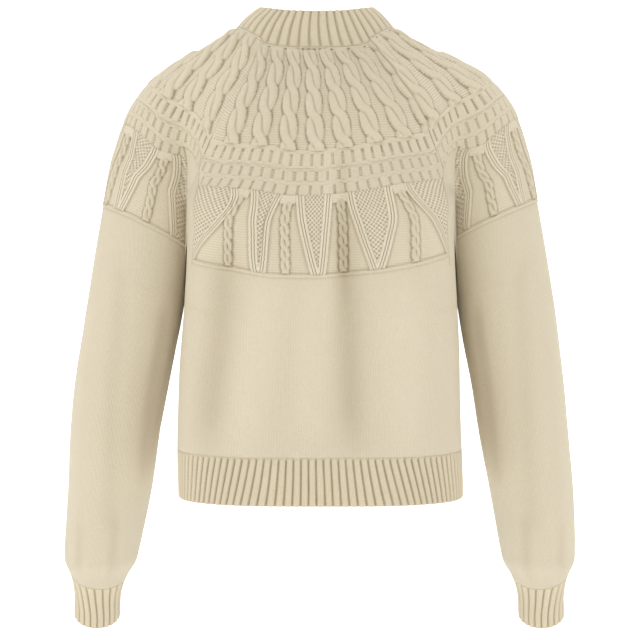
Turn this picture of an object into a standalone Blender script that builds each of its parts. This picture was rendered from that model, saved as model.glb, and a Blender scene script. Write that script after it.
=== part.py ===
"""Round-yoke sweater with raglan seams, in the hollow shape it has when it is worn.

Lengths in the tables are millimetres. The origin is the middle of the neck at the height of the shoulders,
+Z is up, +Y is the wearer's front and +X the wearer's right. A knit row is a number: 0 at the neck seam,
1 at the row through the underarm, 2 at the seam of the hem rib or cuff and 3 at the edge of that rib.
"""

import math

import bmesh
import bpy
import numpy as np

COLLECTION = "round_yoke_sweater"
MM = 0.001
WALL = 3.0
RIB_WALL = 3.6
SEAM_GAP = 0.42

BODY_COLUMNS = 20
SLEEVE_COLUMNS = 16
BODY_ROWS = 5
SLEEVE_ROWS = 10
RIB_ROWS = 2

# Lengths down the cloth that turn the gap at a seam into a part of a row number.
BODY_YOKE_LENGTH = 300
BODY_LOWER_LENGTH = 150
SLEEVE_YOKE_LENGTH = 320
SLEEVE_LOWER_LENGTH = 360
HEM_LENGTH = 50
CUFF_LENGTH = 57

# Rows of the yoke, closer together where the raglan seam turns into the fold beside the sleeve.
YOKE_ROWS = (
    ("from", "to", "steps"),
    (0, 0.52, 6),
    (0.52, 0.76, 8),
    (0.76, 1, 3),
)

# Level sections of the body: a rounded rectangle whose corner is squarer for a larger number.
BODY = (
    ("height", "half_width", "back", "front", "back_corner", "front_corner"),
    (14, 66, 45, 56, 2.1, 2.1),
    (0, 89, 52, 62, 2.1, 2.1),
    (-9, 103, 56, 66, 2.1, 2.1),
    (-20, 121, 61, 71, 2.15, 2.15),
    (-33, 140, 69, 76, 2.2, 2.2),
    (-50, 153, 79, 81, 2.3, 2.25),
    (-72, 155, 90, 86, 2.4, 2.3),
    (-100, 153, 99, 97, 2.6, 2.35),
    (-140, 149, 108, 111, 3.0, 2.4),
    (-180, 147, 113, 120, 3.5, 2.5),
    (-230, 146, 115, 124, 3.6, 2.5),
    (-300, 149.5, 114, 121, 3.3, 2.5),
    (-360, 153.5, 112, 114, 3.0, 2.5),
    (-420, 155.5, 111, 109, 2.9, 2.5),
    (-470, 157, 110, 106.5, 2.9, 2.5),
    (-515, 157, 109, 105.5, 3.1, 2.6),
)

# Level sections of a sleeve: an oval, deeper than it is wide where the arm leans forward.
SLEEVE = (
    ("height", "centre_x", "centre_y", "radius", "deepen"),
    (-24, 141, 5, 0, 1.05),
    (-33, 143, 5, 14, 1.05),
    (-46, 148, 5, 28, 1.05),
    (-60, 154, 6, 38.5, 1.05),
    (-80, 160, 6, 47, 1.05),
    (-105, 166, 7, 51.8, 1.05),
    (-132, 172.8, 8, 54, 1.05),
    (-178, 182.3, 10, 55, 1.05),
    (-231, 192.3, 12, 55, 1.05),
    (-285, 201.8, 14, 54.6, 1.05),
    (-338, 210.6, 18, 54, 1.04),
    (-392, 220.8, 27, 52.2, 1.04),
    (-447, 228.8, 43, 50.8, 1.06),
    (-504, 237, 66, 48.6, 1.09),
    (-562, 246, 94, 45.5, 1.13),
    (-591, 250.5, 109.5, 43.5, 1.14),
    (-606, 252.5, 117, 41.5, 1.15),
    (-622, 254.5, 125, 34, 1.15),
    (-640, 256.5, 134, 29, 1.15),
    (-677, 259.5, 154, 27.5, 1.15),
    (-700, 261, 166, 27, 1.15),
)

# The body melts into the sleeves over the shoulder and meets them in a fold lower down.
MELT = (
    ("height", "width"),
    (0, 30),
    (-50, 30),
    (-90, 22),
    (-130, 14),
    (-160, 8),
    (-190, 5),
    (-210, 4),
)
FOLD_TOP = -184
FOLD_SPLIT = 0.15
MOST_APART = 60
FOLD_CLEARANCE = 0.75
CLEARANCE_RAMP = 30
UNDERARM_SEARCH = (-240, -330)

# Raglan seams above the fold, as places across the body at given heights.
BACK_RAGLAN = (
    ("height", "across"),
    (-11.5, 58),
    (-47, 78),
    (-87, 104),
    (-122, 119),
    (-144, 128),
    (-162, 134.5),
)
FRONT_RAGLAN = (
    ("height", "across"),
    (-50, 53),
    (-72, 76),
    (-100, 99),
    (-128, 117),
    (-146, 127),
    (-163, 132.5),
)
VALLEY_START = FOLD_TOP - 4
VALLEY_STEPS = 16

# Heights of the knit rows at the middle of the back and front.
ROW_HEIGHTS = (
    ("row", "back", "front"),
    (0, -21, -72),
    (1, -312, -345),
    (2, -459, -459),
    (3, -512, -512),
)

# Line over the shoulder and down the sleeve: where it starts, how soon it follows the arm, its foot.
SHOULDER_Y = 4
SHOULDER_DEPTH = 60
SLEEVE_TOP_FOOT = -257
SHOULDER_CROWDING = 1.5
PATH_KNOTS = 40
CUFF_SEAM_HEIGHT = -623
CUFF_EDGE_HEIGHT = -676
SQUARE_UP = 0.3
ROW_ROUNDING = 0.85

# Neckband: the oval of its rim and how its height falls from the sides to the back and front.
RIM_HALF_WIDTH = 62
RIM_BACK = 52
RIM_FRONT = 62
RIM_SIDE_HEIGHT = 24.5
RIM_BACK_DROP = 5.5
RIM_FRONT_DROP = 60
BAND_BULGE = 1.5

# The figure leans a little: the whole form is moved sideways by these amounts.
SWAY = (
    ("height", "shift"),
    (30, -1),
    (0, -3),
    (-20, -1.5),
    (-40, 3),
    (-65, 4.2),
    (-130, 3.5),
    (-200, 3),
    (-320, 2.8),
    (-390, 1.5),
    (-450, 1.5),
    (-510, 3),
    (-600, 2),
    (-640, 1.5),
    (-690, 1.5),
)

# Largest soft folds: a line down the cloth, its half-width and how far it stands out or sinks in.
FOLDS = (
    ("face", "top_x", "top_z", "foot_x", "foot_z", "half_width", "depth"),
    (-1, -100, -240, -120, -440, 17, -5.0),
    (-1, -52, -262, -78, -445, 18, 3.5),
    (-1, -8, -270, -8, -440, 17, 2.5),
    (-1, 24, -200, 36, -440, 15, -5.0),
    (-1, 84, -270, 92, -450, 20, 3.0),
    (1, -88, -270, -104, -445, 18, -4.5),
    (1, -34, -290, -42, -450, 19, 3.5),
    (1, 30, -280, 24, -440, 17, -4.0),
    (1, 92, -260, 108, -445, 18, -4.5),
)
FOLD_END = 40
FOLD_FACING = 40

# Ranges searched for the surface and how points are moved onto it.
BODY_REACH = (0.0, 250.0)
SLEEVE_REACH = (60.0, 400.0)
SETTLE_STEPS = 8
SETTLE_LIMIT = 12
LEAST_SLOPE = 0.2

CREAM = (0.72, 0.64, 0.48, 1.0)
RIB_CREAM = (0.66, 0.58, 0.43, 1.0)
SHARP_ANGLE = math.radians(50)


def curve_of(table, name):
    """One column of a table as a smooth function of its first column, straight past both ends."""
    names, *rows = table
    rows = np.array(sorted(rows), float)
    places = rows[:, 0]
    values = rows[:, names.index(name)]
    slopes = np.gradient(values, places)

    def read(place):
        inside = np.clip(place, places[0], places[-1])
        left = np.clip(np.searchsorted(places, inside) - 1, 0, len(places) - 2)
        step = places[left + 1] - places[left]
        t = (inside - places[left]) / step
        start = values[left] * (1 + 2 * t) + slopes[left] * step * t
        end = values[left + 1] * (3 - 2 * t) - slopes[left + 1] * step * (1 - t)
        beyond = np.where(place < places[0], slopes[0], slopes[-1])
        return start * (1 - t) ** 2 + end * t**2 + beyond * (place - inside)

    return read


def path_through(knots):
    """Dense smooth path through a few points in space."""
    knots = np.array(knots, float)
    lengths = np.linalg.norm(np.diff(knots, axis=0), axis=1)
    places = np.concatenate([[0], np.cumsum(lengths)])
    table = [("place", "x", "y", "z"), *map(tuple, np.column_stack([places, knots]))]
    steps = np.linspace(0, places[-1], 400)
    return np.column_stack([curve_of(table, name)(steps) for name in "xyz"])


def point_along(path, shares):
    """Points at the given shares of a path's length."""
    lengths = np.linalg.norm(np.diff(path, axis=0), axis=1)
    places = np.concatenate([[0], np.cumsum(lengths)])
    wanted = np.asarray(shares) * places[-1]
    return np.stack([np.interp(wanted, places, path[:, axis]) for axis in range(3)], axis=-1)


def root(function, inside, outside):
    """Where a function that is negative inside turns positive, by halving the interval."""
    for _ in range(50):
        middle = (inside + outside) / 2
        within = function(middle) < 0
        inside = np.where(within, middle, inside)
        outside = np.where(within, outside, middle)
    return (inside + outside) / 2


body_half_width = curve_of(BODY, "half_width")
body_back = curve_of(BODY, "back")
body_front = curve_of(BODY, "front")
body_back_corner = curve_of(BODY, "back_corner")
body_front_corner = curve_of(BODY, "front_corner")
sleeve_x = curve_of(SLEEVE, "centre_x")
sleeve_y = curve_of(SLEEVE, "centre_y")
sleeve_radius = curve_of(SLEEVE, "radius")
sleeve_deepen = curve_of(SLEEVE, "deepen")
melt_width = curve_of(MELT, "width")
sway = curve_of(SWAY, "shift")


def body_only(points):
    """Distance out from the body's level section, along the spoke from its middle."""
    x, y, z = np.moveaxis(points, -1, 0)
    depth = np.where(y < 0, body_back(z), body_front(z))
    corner = np.where(y < 0, body_back_corner(z), body_front_corner(z))
    share = (np.abs(x / body_half_width(z)) ** corner + np.abs(y / depth) ** corner) ** (1 / corner)
    return np.hypot(x, y) * (1 - 1 / np.maximum(share, 1e-6))


def sleeve_only(points):
    """Distance out from the level section of the sleeve on the point's own side."""
    x, y, z = np.moveaxis(points, -1, 0)
    return np.hypot(np.abs(x) - sleeve_x(z), (y - sleeve_y(z)) / sleeve_deepen(z)) - sleeve_radius(z)


def melted(first, second, width):
    overlap = np.maximum(width - np.abs(first - second), 0)
    return np.minimum(first, second) - overlap**2 / (4 * width)


def held_apart(height):
    """How far each piece ignores the other: nothing over the shoulder, fully in the fold."""
    return np.clip((FOLD_TOP - height) * FOLD_SPLIT, 0, MOST_APART)


def body_form(points):
    other = sleeve_only(points) + held_apart(points[..., 2])
    return melted(body_only(points), other, melt_width(points[..., 2]))


def sleeve_form(points):
    """The sleeve keeps a little clear of the body in the fold, where the two lie side by side."""
    ramp = (FOLD_TOP - points[..., 2]) / CLEARANCE_RAMP + 1
    clearance = np.clip(ramp, 0, 1) * FOLD_CLEARANCE
    other = body_only(points) + held_apart(points[..., 2])
    return melted(sleeve_only(points) + clearance, other, melt_width(points[..., 2]))


def slope_of(form, points):
    """Gradient of a form, by differences of half a millimetre each way."""
    sides = [form(points + step) - form(points - step) for step in np.eye(3) * 0.5]
    return np.stack(sides, axis=-1)


def settled(points, form):
    """Points moved onto the surface of a form."""
    for _ in range(SETTLE_STEPS):
        slope = slope_of(form, points)
        square = np.maximum((slope**2).sum(axis=-1), LEAST_SLOPE**2)
        step = np.clip(form(points) / square, -SETTLE_LIMIT, SETTLE_LIMIT)
        points = points - step[..., None] * slope
    return points


def outward(form, points):
    slope = slope_of(form, points)
    return slope / np.linalg.norm(slope, axis=-1, keepdims=True)


def on_face(x, z, face):
    """Point of the back (face -1) or front (face 1) at a place across and a height."""
    y = root(lambda y: float(body_form(np.array([x, face * y, z]))), *BODY_REACH)
    return np.array([x, face * y, z], float)


def fold_point(height, face):
    """Where the side of the body meets the inside of the sleeve, at a height."""
    width = melt_width(height)
    lift = max(width - float(held_apart(height)), 0) ** 2 / (4 * width)
    radius = sleeve_radius(height) + lift
    deep = radius * sleeve_deepen(height)

    def apart(y):
        inner = sleeve_x(height) - radius * math.sqrt(max(1 - (y / deep) ** 2, 0))
        return inner - lift - side_x(sleeve_y(height) + face * y, height)

    y = sleeve_y(height) + face * root(apart, 0.0, float(deep))
    return np.array([side_x(y, height) + lift, y, height], float)


def side_x(y, height):
    depth = body_back(height) if y < 0 else body_front(height)
    corner = body_back_corner(height) if y < 0 else body_front_corner(height)
    return body_half_width(height) * (1 - abs(y / depth) ** corner) ** (1 / corner)


def underarm_height():
    def apart(height):
        inner = sleeve_x(height) - sleeve_radius(height)
        return float(inner - side_x(sleeve_y(height), height))

    return float(root(apart, *UNDERARM_SEARCH))


UNDERARM = underarm_height()


def raglan(table, face):
    """Seam from the neck to the underarm: by table on the shoulder, then down the fold."""
    knots = [on_face(across, height, face) for height, across in table[1:]]
    for share in np.linspace(1, 0, VALLEY_STEPS):
        height = UNDERARM + (VALLEY_START - UNDERARM) * share**2
        knots.append(fold_point(height, face))
    path = path_through(knots)
    above = path[:, 2] > FOLD_TOP
    path[above] = settled(path[above], body_form)
    return path


def row_height(name, row):
    names, *rows = ROW_HEIGHTS
    return float(np.interp(row, [entry[0] for entry in rows], [entry[names.index(name)] for entry in rows]))


def middle_path(name, face):
    heights = np.linspace(row_height(name, 0), row_height(name, 1), PATH_KNOTS)
    return path_through([on_face(0, height, face) for height in heights])


def sleeve_top_path():
    """Line over the shoulder and down the outside of the sleeve, to the underarm row."""
    points = []
    for share in np.linspace(0, 1, PATH_KNOTS):
        height = SLEEVE_TOP_FOOT * share**SHOULDER_CROWDING
        y = SHOULDER_Y + (sleeve_y(height) - SHOULDER_Y) * min(-height / SHOULDER_DEPTH, 1)
        x = root(lambda x: float(sleeve_form(np.array([x, y, height]))), *SLEEVE_REACH)
        points.append(np.array([x, y, height], float))
    return path_through(points)


RAGLANS = {-1: raglan(BACK_RAGLAN, -1), 1: raglan(FRONT_RAGLAN, 1)}
MIDDLES = {-1: middle_path("back", -1), 1: middle_path("front", 1)}
SLEEVE_TOP = sleeve_top_path()


def respaced(points, count, gap):
    """Even spacing along a row, kept clear of both ends by half a seam gap."""
    length = np.linalg.norm(np.diff(points, axis=0), axis=1).sum()
    return point_along(points, np.linspace(gap / 2 / length, 1 - gap / 2 / length, count + 1))


def body_row(row, face, columns, gap=SEAM_GAP):
    """One knit row of the back or front, from the right-hand edge to the left-hand one."""
    if row <= 1:
        edge = point_along(RAGLANS[face], row)
        middle = point_along(MIDDLES[face], row)
    else:
        name = "back" if face < 0 else "front"
        height = np.interp(row, (1, 2, 3), (UNDERARM, row_height(name, 2), row_height(name, 3)))
        edge_y = sleeve_y(UNDERARM) * float(np.interp(row, (1, 2), (1, 0)))
        edge = np.array([side_x(edge_y, height), edge_y, height], float)
        middle = on_face(0, row_height(name, row), face)
    angles = np.linspace(0, math.pi, columns * 4 + 1)
    out = np.abs(np.cos(angles)) ** ROW_ROUNDING * np.sign(np.cos(angles))
    along = np.abs(np.sin(angles)) ** ROW_ROUNDING
    centre = np.array([0, edge[1], edge[2]])
    reach = middle - centre
    points = centre + along[:, None] * reach
    points[:, 0] += out * edge[0]
    return respaced(settled(points, body_form), columns, gap)


def arc_through(start, middle, end, count):
    """Circular arc through three points in space."""
    chord = end - start
    across = middle - start
    normal = np.cross(chord, across)
    to_centre = np.cross(across @ across * chord - chord @ chord * across, normal)
    centre = start - to_centre / (2 * normal @ normal)
    first = start - centre
    radius = np.linalg.norm(first)
    first = first / radius
    unit = normal / np.linalg.norm(normal)
    second = np.cross(unit, first)
    turn = math.atan2((end - centre) @ second, (end - centre) @ first)
    halfway = math.atan2((middle - centre) @ second, (middle - centre) @ first) % (2 * math.pi)
    turn %= 2 * math.pi
    if halfway > turn:
        turn -= 2 * math.pi
    angles = np.linspace(0, turn, count)[:, None]
    return centre + radius * (np.cos(angles) * first + np.sin(angles) * second)


def sleeve_ring(row, count):
    """Circle round the arm below the underarm, square to the arm except near the underarm."""
    top = SLEEVE_TOP[-1]
    underarm = RAGLANS[-1][-1]
    start_height = (top[2] + underarm[2]) / 2
    height = np.interp(row, (1, 2, 3), (start_height, CUFF_SEAM_HEIGHT, CUFF_EDGE_HEIGHT))
    centre = np.array([sleeve_x(height), sleeve_y(height), height], float)
    ahead = np.array([sleeve_x(height - 5), sleeve_y(height - 5), height - 5], float)
    down = (ahead - centre) / np.linalg.norm(ahead - centre)
    across = (top - underarm) / np.linalg.norm(top - underarm)
    first_down = np.cross(across, (0, -1, 0))
    share = min((row - 1) / SQUARE_UP, 1)
    share = share * share * (3 - 2 * share)
    normal = first_down * (1 - share) + down * share
    normal /= np.linalg.norm(normal)
    side = np.array([1, 0, 0]) - normal[0] * normal
    side /= np.linalg.norm(side)
    back = np.cross(normal, side)
    back *= -np.sign(back[1])
    angles = np.linspace(math.pi, -math.pi, count)[:, None]
    return centre + sleeve_radius(height) * (np.cos(angles) * side + np.sin(angles) * back)


def sleeve_row(row, columns, gap=SEAM_GAP):
    """One knit row of the right sleeve, from its back edge over the top to its front edge."""
    count = columns * 4 + 1
    if row < 1:
        start = point_along(RAGLANS[-1], row)
        end = point_along(RAGLANS[1], row)
        points = arc_through(start, point_along(SLEEVE_TOP, row), end, count)
    else:
        points = sleeve_ring(row, count)
    return respaced(settled(points, sleeve_form), columns, gap)


def folds_at(points):
    """How far the soft folds move the cloth out, at points of the plain form."""
    x, y, z = np.moveaxis(points, -1, 0)
    total = np.zeros(x.shape)
    for face, top_x, top_z, foot_x, foot_z, half_width, depth in FOLDS[1:]:
        share = (top_z - z) / (top_z - foot_z)
        across = x - (top_x + (foot_x - top_x) * share)
        ends = np.clip(np.minimum(top_z - z, z - foot_z) / FOLD_END + 0.5, 0, 1)
        ends = ends * ends * (3 - 2 * ends)
        facing = np.clip(face * y / FOLD_FACING, 0, 1)
        total += depth * ends * facing * np.exp(-((across / half_width) ** 2))
    return total


def finished(points, normals):
    """Grid with its folds and its lean."""
    points = points + normals * folds_at(points)[..., None]
    points[..., 0] += sway(points[..., 2])
    return points


def wall(name, outer, normals, thickness, material, closed=False):
    """Cloth wall as a loft: outer rows, the same rows moved in, and strips round the open edges.

    Both layers use the form's own normals, so that two pieces that meet at a seam have
    parallel edges; normals taken from each piece alone would run the edges into each other.
    """
    inner = outer - normals * thickness
    rows, columns = outer.shape[:2]
    mesh = bmesh.new()
    layers = []
    for grid in (outer, inner):
        layers.append([[mesh.verts.new(point * MM) for point in line] for line in grid])
    line = list(range(columns)) + [0] * closed
    for layer in layers:
        for above, below in zip(layer, layer[1:]):
            for left, right in zip(line, line[1:]):
                mesh.faces.new((above[left], above[right], below[right], below[left]))
    edges = [[(row, column) for column in line] for row in (0, rows - 1)]
    if not closed:
        edges += [[(row, column) for row in range(rows)] for column in (0, columns - 1)]
    outside, inside = layers
    for edge in edges:
        for (row_a, col_a), (row_b, col_b) in zip(edge, edge[1:]):
            upper = (outside[row_a][col_a], outside[row_b][col_b])
            lower = (inside[row_b][col_b], inside[row_a][col_a])
            mesh.faces.new(upper + lower)
    bmesh.ops.recalc_face_normals(mesh, faces=mesh.faces)
    data = bpy.data.meshes.new(name)
    mesh.to_mesh(data)
    mesh.free()
    data.shade_smooth()
    data.set_sharp_from_angle(angle=SHARP_ANGLE)
    data.materials.append(material)
    piece = bpy.data.objects.new(name, data)
    bpy.data.collections[COLLECTION].objects.link(piece)
    return piece


def mirrored(grid):
    return grid * np.array([-1, 1, 1])


def yarn(name, colour):
    material = bpy.data.materials.new(name)
    material.use_nodes = True
    shader = material.node_tree.nodes["Principled BSDF"]
    shader.inputs["Base Color"].default_value = colour
    shader.inputs["Roughness"].default_value = 0.95
    shader.inputs["Metallic"].default_value = 0.0
    return material


def rows_between(first, last, count, length):
    """Row numbers of a piece, held half a seam gap inside its first and last row."""
    inset = SEAM_GAP / 2 / length
    return np.linspace(first + inset, last - inset, count + 1)


def panel_rows(lower_rows, yoke_length, lower_length):
    stretches = [np.linspace(first, last, steps + 1)[:-1] for first, last, steps in YOKE_ROWS[1:]]
    yoke = np.concatenate(stretches)
    yoke[0] = SEAM_GAP / 2 / yoke_length
    lower = np.linspace(1, 2 - SEAM_GAP / 2 / lower_length, lower_rows + 1)
    return np.concatenate([yoke, lower])


def body_panel(name, face, material):
    rows = panel_rows(BODY_ROWS, BODY_YOKE_LENGTH, BODY_LOWER_LENGTH)
    grid = np.array([body_row(row, face, BODY_COLUMNS) for row in rows])
    normals = outward(body_form, grid)
    wall(name, finished(grid, normals), normals, WALL, material)


def sleeve(name, side, material):
    rows = panel_rows(SLEEVE_ROWS, SLEEVE_YOKE_LENGTH, SLEEVE_LOWER_LENGTH)
    grid = np.array([sleeve_row(row, SLEEVE_COLUMNS) for row in rows])
    normals = outward(sleeve_form, grid)
    if side < 0:
        grid = mirrored(grid)
        normals = mirrored(normals)
    wall(name, finished(grid, normals), normals, WALL, material)


def hem_rib(name, face, material):
    rows = rows_between(2, 3, RIB_ROWS, HEM_LENGTH)
    grid = np.array([body_row(row, face, BODY_COLUMNS) for row in rows])
    normals = outward(body_form, grid)
    wall(name, finished(grid, normals), normals, RIB_WALL, material)


def cuff(name, side, material):
    rows = rows_between(2, 3, RIB_ROWS, CUFF_LENGTH)
    grid = np.array([sleeve_row(row, SLEEVE_COLUMNS, gap=0)[:-1] for row in rows])
    normals = outward(sleeve_form, grid)
    if side < 0:
        grid = mirrored(grid)
        normals = mirrored(normals)
    wall(name, finished(grid, normals), normals, RIB_WALL, material, closed=True)


def neck_seam():
    """Closed ring of the neck seam: back, left sleeve, front and right sleeve."""
    back = body_row(0, -1, BODY_COLUMNS)
    front = body_row(0, 1, BODY_COLUMNS)[::-1]
    right = sleeve_row(0, SLEEVE_COLUMNS)[::-1]
    left = mirrored(sleeve_row(0, SLEEVE_COLUMNS))
    return np.concatenate([back[:-1], left[:-1], front[:-1], right[:-1]])


def neckband(name, material):
    seam = neck_seam()
    across = seam[:, 0] / abs(seam[:, 0]).max()
    ahead = seam[:, 1] / np.where(seam[:, 1] < 0, -seam[:, 1].min(), seam[:, 1].max())
    length = np.hypot(across, ahead)
    across, ahead = across / length, ahead / length
    depth = np.where(ahead < 0, RIM_BACK, RIM_FRONT)
    drop = np.where(ahead < 0, RIM_BACK_DROP, RIM_FRONT_DROP)
    rim = np.column_stack([RIM_HALF_WIDTH * across, depth * ahead, RIM_SIDE_HEIGHT - drop * ahead**2])
    slant = np.linalg.norm(rim - seam, axis=1)
    grid = []
    for share in np.linspace(0, 1, RIB_ROWS + 1):
        inset = SEAM_GAP / slant * (1 - share)
        grid.append(seam + (rim - seam) * (share + inset)[:, None])
    grid = np.array(grid)
    along = np.roll(grid, -1, axis=1) - np.roll(grid, 1, axis=1)
    up = np.gradient(grid, axis=0)
    normals = np.cross(up, along)
    normals /= np.linalg.norm(normals, axis=-1, keepdims=True)
    away = np.sign((normals[..., :2] * grid[..., :2]).sum(axis=-1, keepdims=True))
    normals *= away
    normals[0] = outward(body_form, seam)
    bulge = np.sin(np.linspace(0, math.pi, RIB_ROWS + 1))[:, None, None] * BAND_BULGE
    grid = grid + normals * bulge
    wall(name, finished(grid, normals), normals, RIB_WALL, material, closed=True)


def main():
    for thing in list(bpy.data.objects):
        bpy.data.objects.remove(thing, do_unlink=True)
    collection = bpy.data.collections.new(COLLECTION)
    bpy.context.scene.collection.children.link(collection)
    body_panel("back_panel", -1, yarn("back_knit", CREAM))
    body_panel("front_panel", 1, yarn("front_knit", CREAM))
    sleeve("right_sleeve", 1, yarn("right_sleeve_knit", CREAM))
    sleeve("left_sleeve", -1, yarn("left_sleeve_knit", CREAM))
    neckband("neckband", yarn("neckband_rib", RIB_CREAM))
    hem_rib("back_hem_rib", -1, yarn("back_hem_knit", RIB_CREAM))
    hem_rib("front_hem_rib", 1, yarn("front_hem_knit", RIB_CREAM))
    cuff("right_cuff", 1, yarn("right_cuff_rib", RIB_CREAM))
    cuff("left_cuff", -1, yarn("left_cuff_rib", RIB_CREAM))


main()
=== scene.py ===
"""Looks of a cream cable-knit sweater with a round yoke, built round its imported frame.

Each knitted piece is a thin shell on the form of its solid: cables, ribs, wedges and folds are shaped in
the mesh, and single stitches are bump. Lengths are millimetres until the meshes are made. A knit row is a
number: 0 at the neck seam, 1 at the underarm, 2 at the seam of the hem or cuff, 3 at its edge. A share is
the place along a row, from 0 at the piece's first edge to 1 at its last.
"""

import math
from functools import partial

import bpy
import numpy as np
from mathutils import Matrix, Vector


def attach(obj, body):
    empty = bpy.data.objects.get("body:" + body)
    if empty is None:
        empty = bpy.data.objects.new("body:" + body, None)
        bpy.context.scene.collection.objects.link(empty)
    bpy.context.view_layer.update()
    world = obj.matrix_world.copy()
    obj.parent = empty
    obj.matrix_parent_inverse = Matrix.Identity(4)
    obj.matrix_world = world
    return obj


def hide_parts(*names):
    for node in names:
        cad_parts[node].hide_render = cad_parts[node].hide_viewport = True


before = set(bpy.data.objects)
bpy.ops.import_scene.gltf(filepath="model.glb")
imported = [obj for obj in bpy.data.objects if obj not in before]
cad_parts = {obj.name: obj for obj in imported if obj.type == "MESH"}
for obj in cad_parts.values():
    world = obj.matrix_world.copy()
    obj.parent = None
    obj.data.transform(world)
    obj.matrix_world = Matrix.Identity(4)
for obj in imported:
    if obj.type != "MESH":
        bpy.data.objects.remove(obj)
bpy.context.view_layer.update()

MM = 0.001
WALL = 3.0
SEAM_GAP = 0.01

# ---------------------------------------------------------------- form of the garment

# Level sections of the body: a rounded rectangle whose corner is squarer for a larger number.
BODY = (
    ("height", "half_width", "back", "front", "back_corner", "front_corner"),
    (14, 66, 45, 56, 2.1, 2.1),
    (0, 88, 52, 62, 2.1, 2.1),
    (-9, 101.5, 56, 66, 2.1, 2.1),
    (-20, 121, 61, 71, 2.15, 2.15),
    (-33, 140, 69, 76, 2.2, 2.2),
    (-50, 153, 79, 81, 2.3, 2.25),
    (-72, 155, 90, 86, 2.4, 2.3),
    (-100, 153, 99, 97, 2.6, 2.35),
    (-140, 149, 108, 111, 3.0, 2.4),
    (-180, 147, 113, 120, 3.5, 2.5),
    (-230, 146, 115, 124, 3.6, 2.5),
    (-300, 149.5, 114, 121, 3.3, 2.5),
    (-360, 153.5, 112, 114, 3.0, 2.5),
    (-420, 155.5, 111, 109, 2.9, 2.5),
    (-470, 157, 110, 106.5, 2.9, 2.5),
    (-515, 157, 109, 105.5, 3.1, 2.6),
)

# Level sections of a sleeve: an oval, deeper than it is wide where the arm leans forward.
SLEEVE = (
    ("height", "centre_x", "centre_y", "radius", "deepen"),
    (-29, 139, 5, 0, 1.05),
    (-36, 142, 5, 12, 1.05),
    (-46, 147, 5, 26, 1.05),
    (-60, 153, 6, 37.5, 1.05),
    (-80, 159.5, 6, 46.8, 1.05),
    (-105, 166, 7, 51.8, 1.05),
    (-132, 172.8, 8, 54, 1.05),
    (-178, 182.3, 10, 55, 1.05),
    (-231, 192.3, 12, 55, 1.05),
    (-285, 201.8, 14, 54.6, 1.05),
    (-338, 210.6, 18, 54, 1.04),
    (-392, 220.8, 27, 52.2, 1.04),
    (-447, 228.8, 43, 50.8, 1.06),
    (-504, 237, 66, 48.6, 1.09),
    (-562, 246, 94, 45.5, 1.13),
    (-591, 250.5, 109.5, 43.5, 1.14),
    (-606, 252.5, 117, 41.5, 1.15),
    (-622, 254.5, 125, 34, 1.15),
    (-640, 256.5, 134, 29, 1.15),
    (-677, 259.5, 154, 27.5, 1.15),
    (-700, 261, 166, 27, 1.15),
)

# The body melts into the sleeves over the shoulder and meets them in a fold lower down.
MELT = (
    ("height", "width"),
    (0, 30),
    (-50, 30),
    (-90, 22),
    (-130, 14),
    (-160, 8),
    (-190, 5),
    (-210, 4),
)
FOLD_TOP = -184
FOLD_SPLIT = 0.15
MOST_APART = 60
FOLD_CLEARANCE = 0.75
CLEARANCE_RAMP = 30
UNDERARM_SEARCH = (-240, -330)

# Raglan seams above the fold, as places across the body at given heights.
BACK_RAGLAN = (
    ("height", "across"),
    (-11.5, 58),
    (-47, 78),
    (-87, 104),
    (-122, 119),
    (-144, 128),
    (-162, 134.5),
)
FRONT_RAGLAN = (
    ("height", "across"),
    (-50, 53),
    (-72, 76),
    (-100, 99),
    (-128, 117),
    (-146, 127),
    (-163, 132.5),
)
VALLEY_START = FOLD_TOP - 4
VALLEY_STEPS = 16

# Heights of the knit rows at the middle of the back and front.
ROW_HEIGHTS = (
    ("row", "back", "front"),
    (0, -21, -72),
    (1, -312, -345),
    (2, -459, -459),
    (3, -512, -512),
)

# Line over the shoulder and down the sleeve: where it starts, how soon it follows the arm, its foot.
SHOULDER_Y = 4
SHOULDER_DEPTH = 60
SLEEVE_TOP_FOOT = -257
SHOULDER_CROWDING = 1.5
PATH_KNOTS = 40
CUFF_SEAM_HEIGHT = -623
CUFF_EDGE_HEIGHT = -676
SQUARE_UP = 0.3
ROW_ROUNDING = 0.85

# Neckband: the oval of its rim and how its height falls from the sides to the back and front.
RIM_HALF_WIDTH = 62
RIM_BACK = 52
RIM_FRONT = 62
RIM_SIDE_HEIGHT = 24.5
RIM_BACK_DROP = 5.5
RIM_FRONT_DROP = 60
BAND_BULGE = 1.5

# The figure leans a little: the whole form is moved sideways by these amounts.
SWAY = (
    ("height", "shift"),
    (30, -1),
    (0, -3),
    (-20, -1.5),
    (-40, 3),
    (-65, 4.2),
    (-130, 3.5),
    (-200, 3),
    (-320, 2.8),
    (-390, 1.5),
    (-450, 1.5),
    (-510, 3),
    (-600, 2),
    (-640, 1.5),
    (-690, 1.5),
)

# Largest soft folds: a line down the cloth, its half-width and how far it stands out or sinks in.
FOLDS = (
    ("face", "top_x", "top_z", "foot_x", "foot_z", "half_width", "depth"),
    (-1, -100, -240, -120, -440, 17, -5.0),
    (-1, -52, -262, -78, -445, 18, 3.5),
    (-1, -8, -270, -8, -440, 17, 2.5),
    (-1, 24, -200, 36, -440, 15, -5.0),
    (-1, 8, -130, 8, -300, 8, 1.5),
    (-1, 22, -130, 25, -290, 6, -1.8),
    (-1, 84, -270, 92, -450, 20, 3.0),
    (1, -88, -270, -104, -445, 18, -4.5),
    (1, -34, -290, -42, -450, 19, 3.5),
    (1, 30, -280, 24, -440, 17, -4.0),
    (1, -12, -170, -10, -310, 8, 1.5),
    (1, -26, -160, -28, -300, 7, -1.8),
    (1, 92, -260, 108, -445, 18, -4.5),
)
FOLD_END = 80
FOLD_FACING = 40

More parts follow.
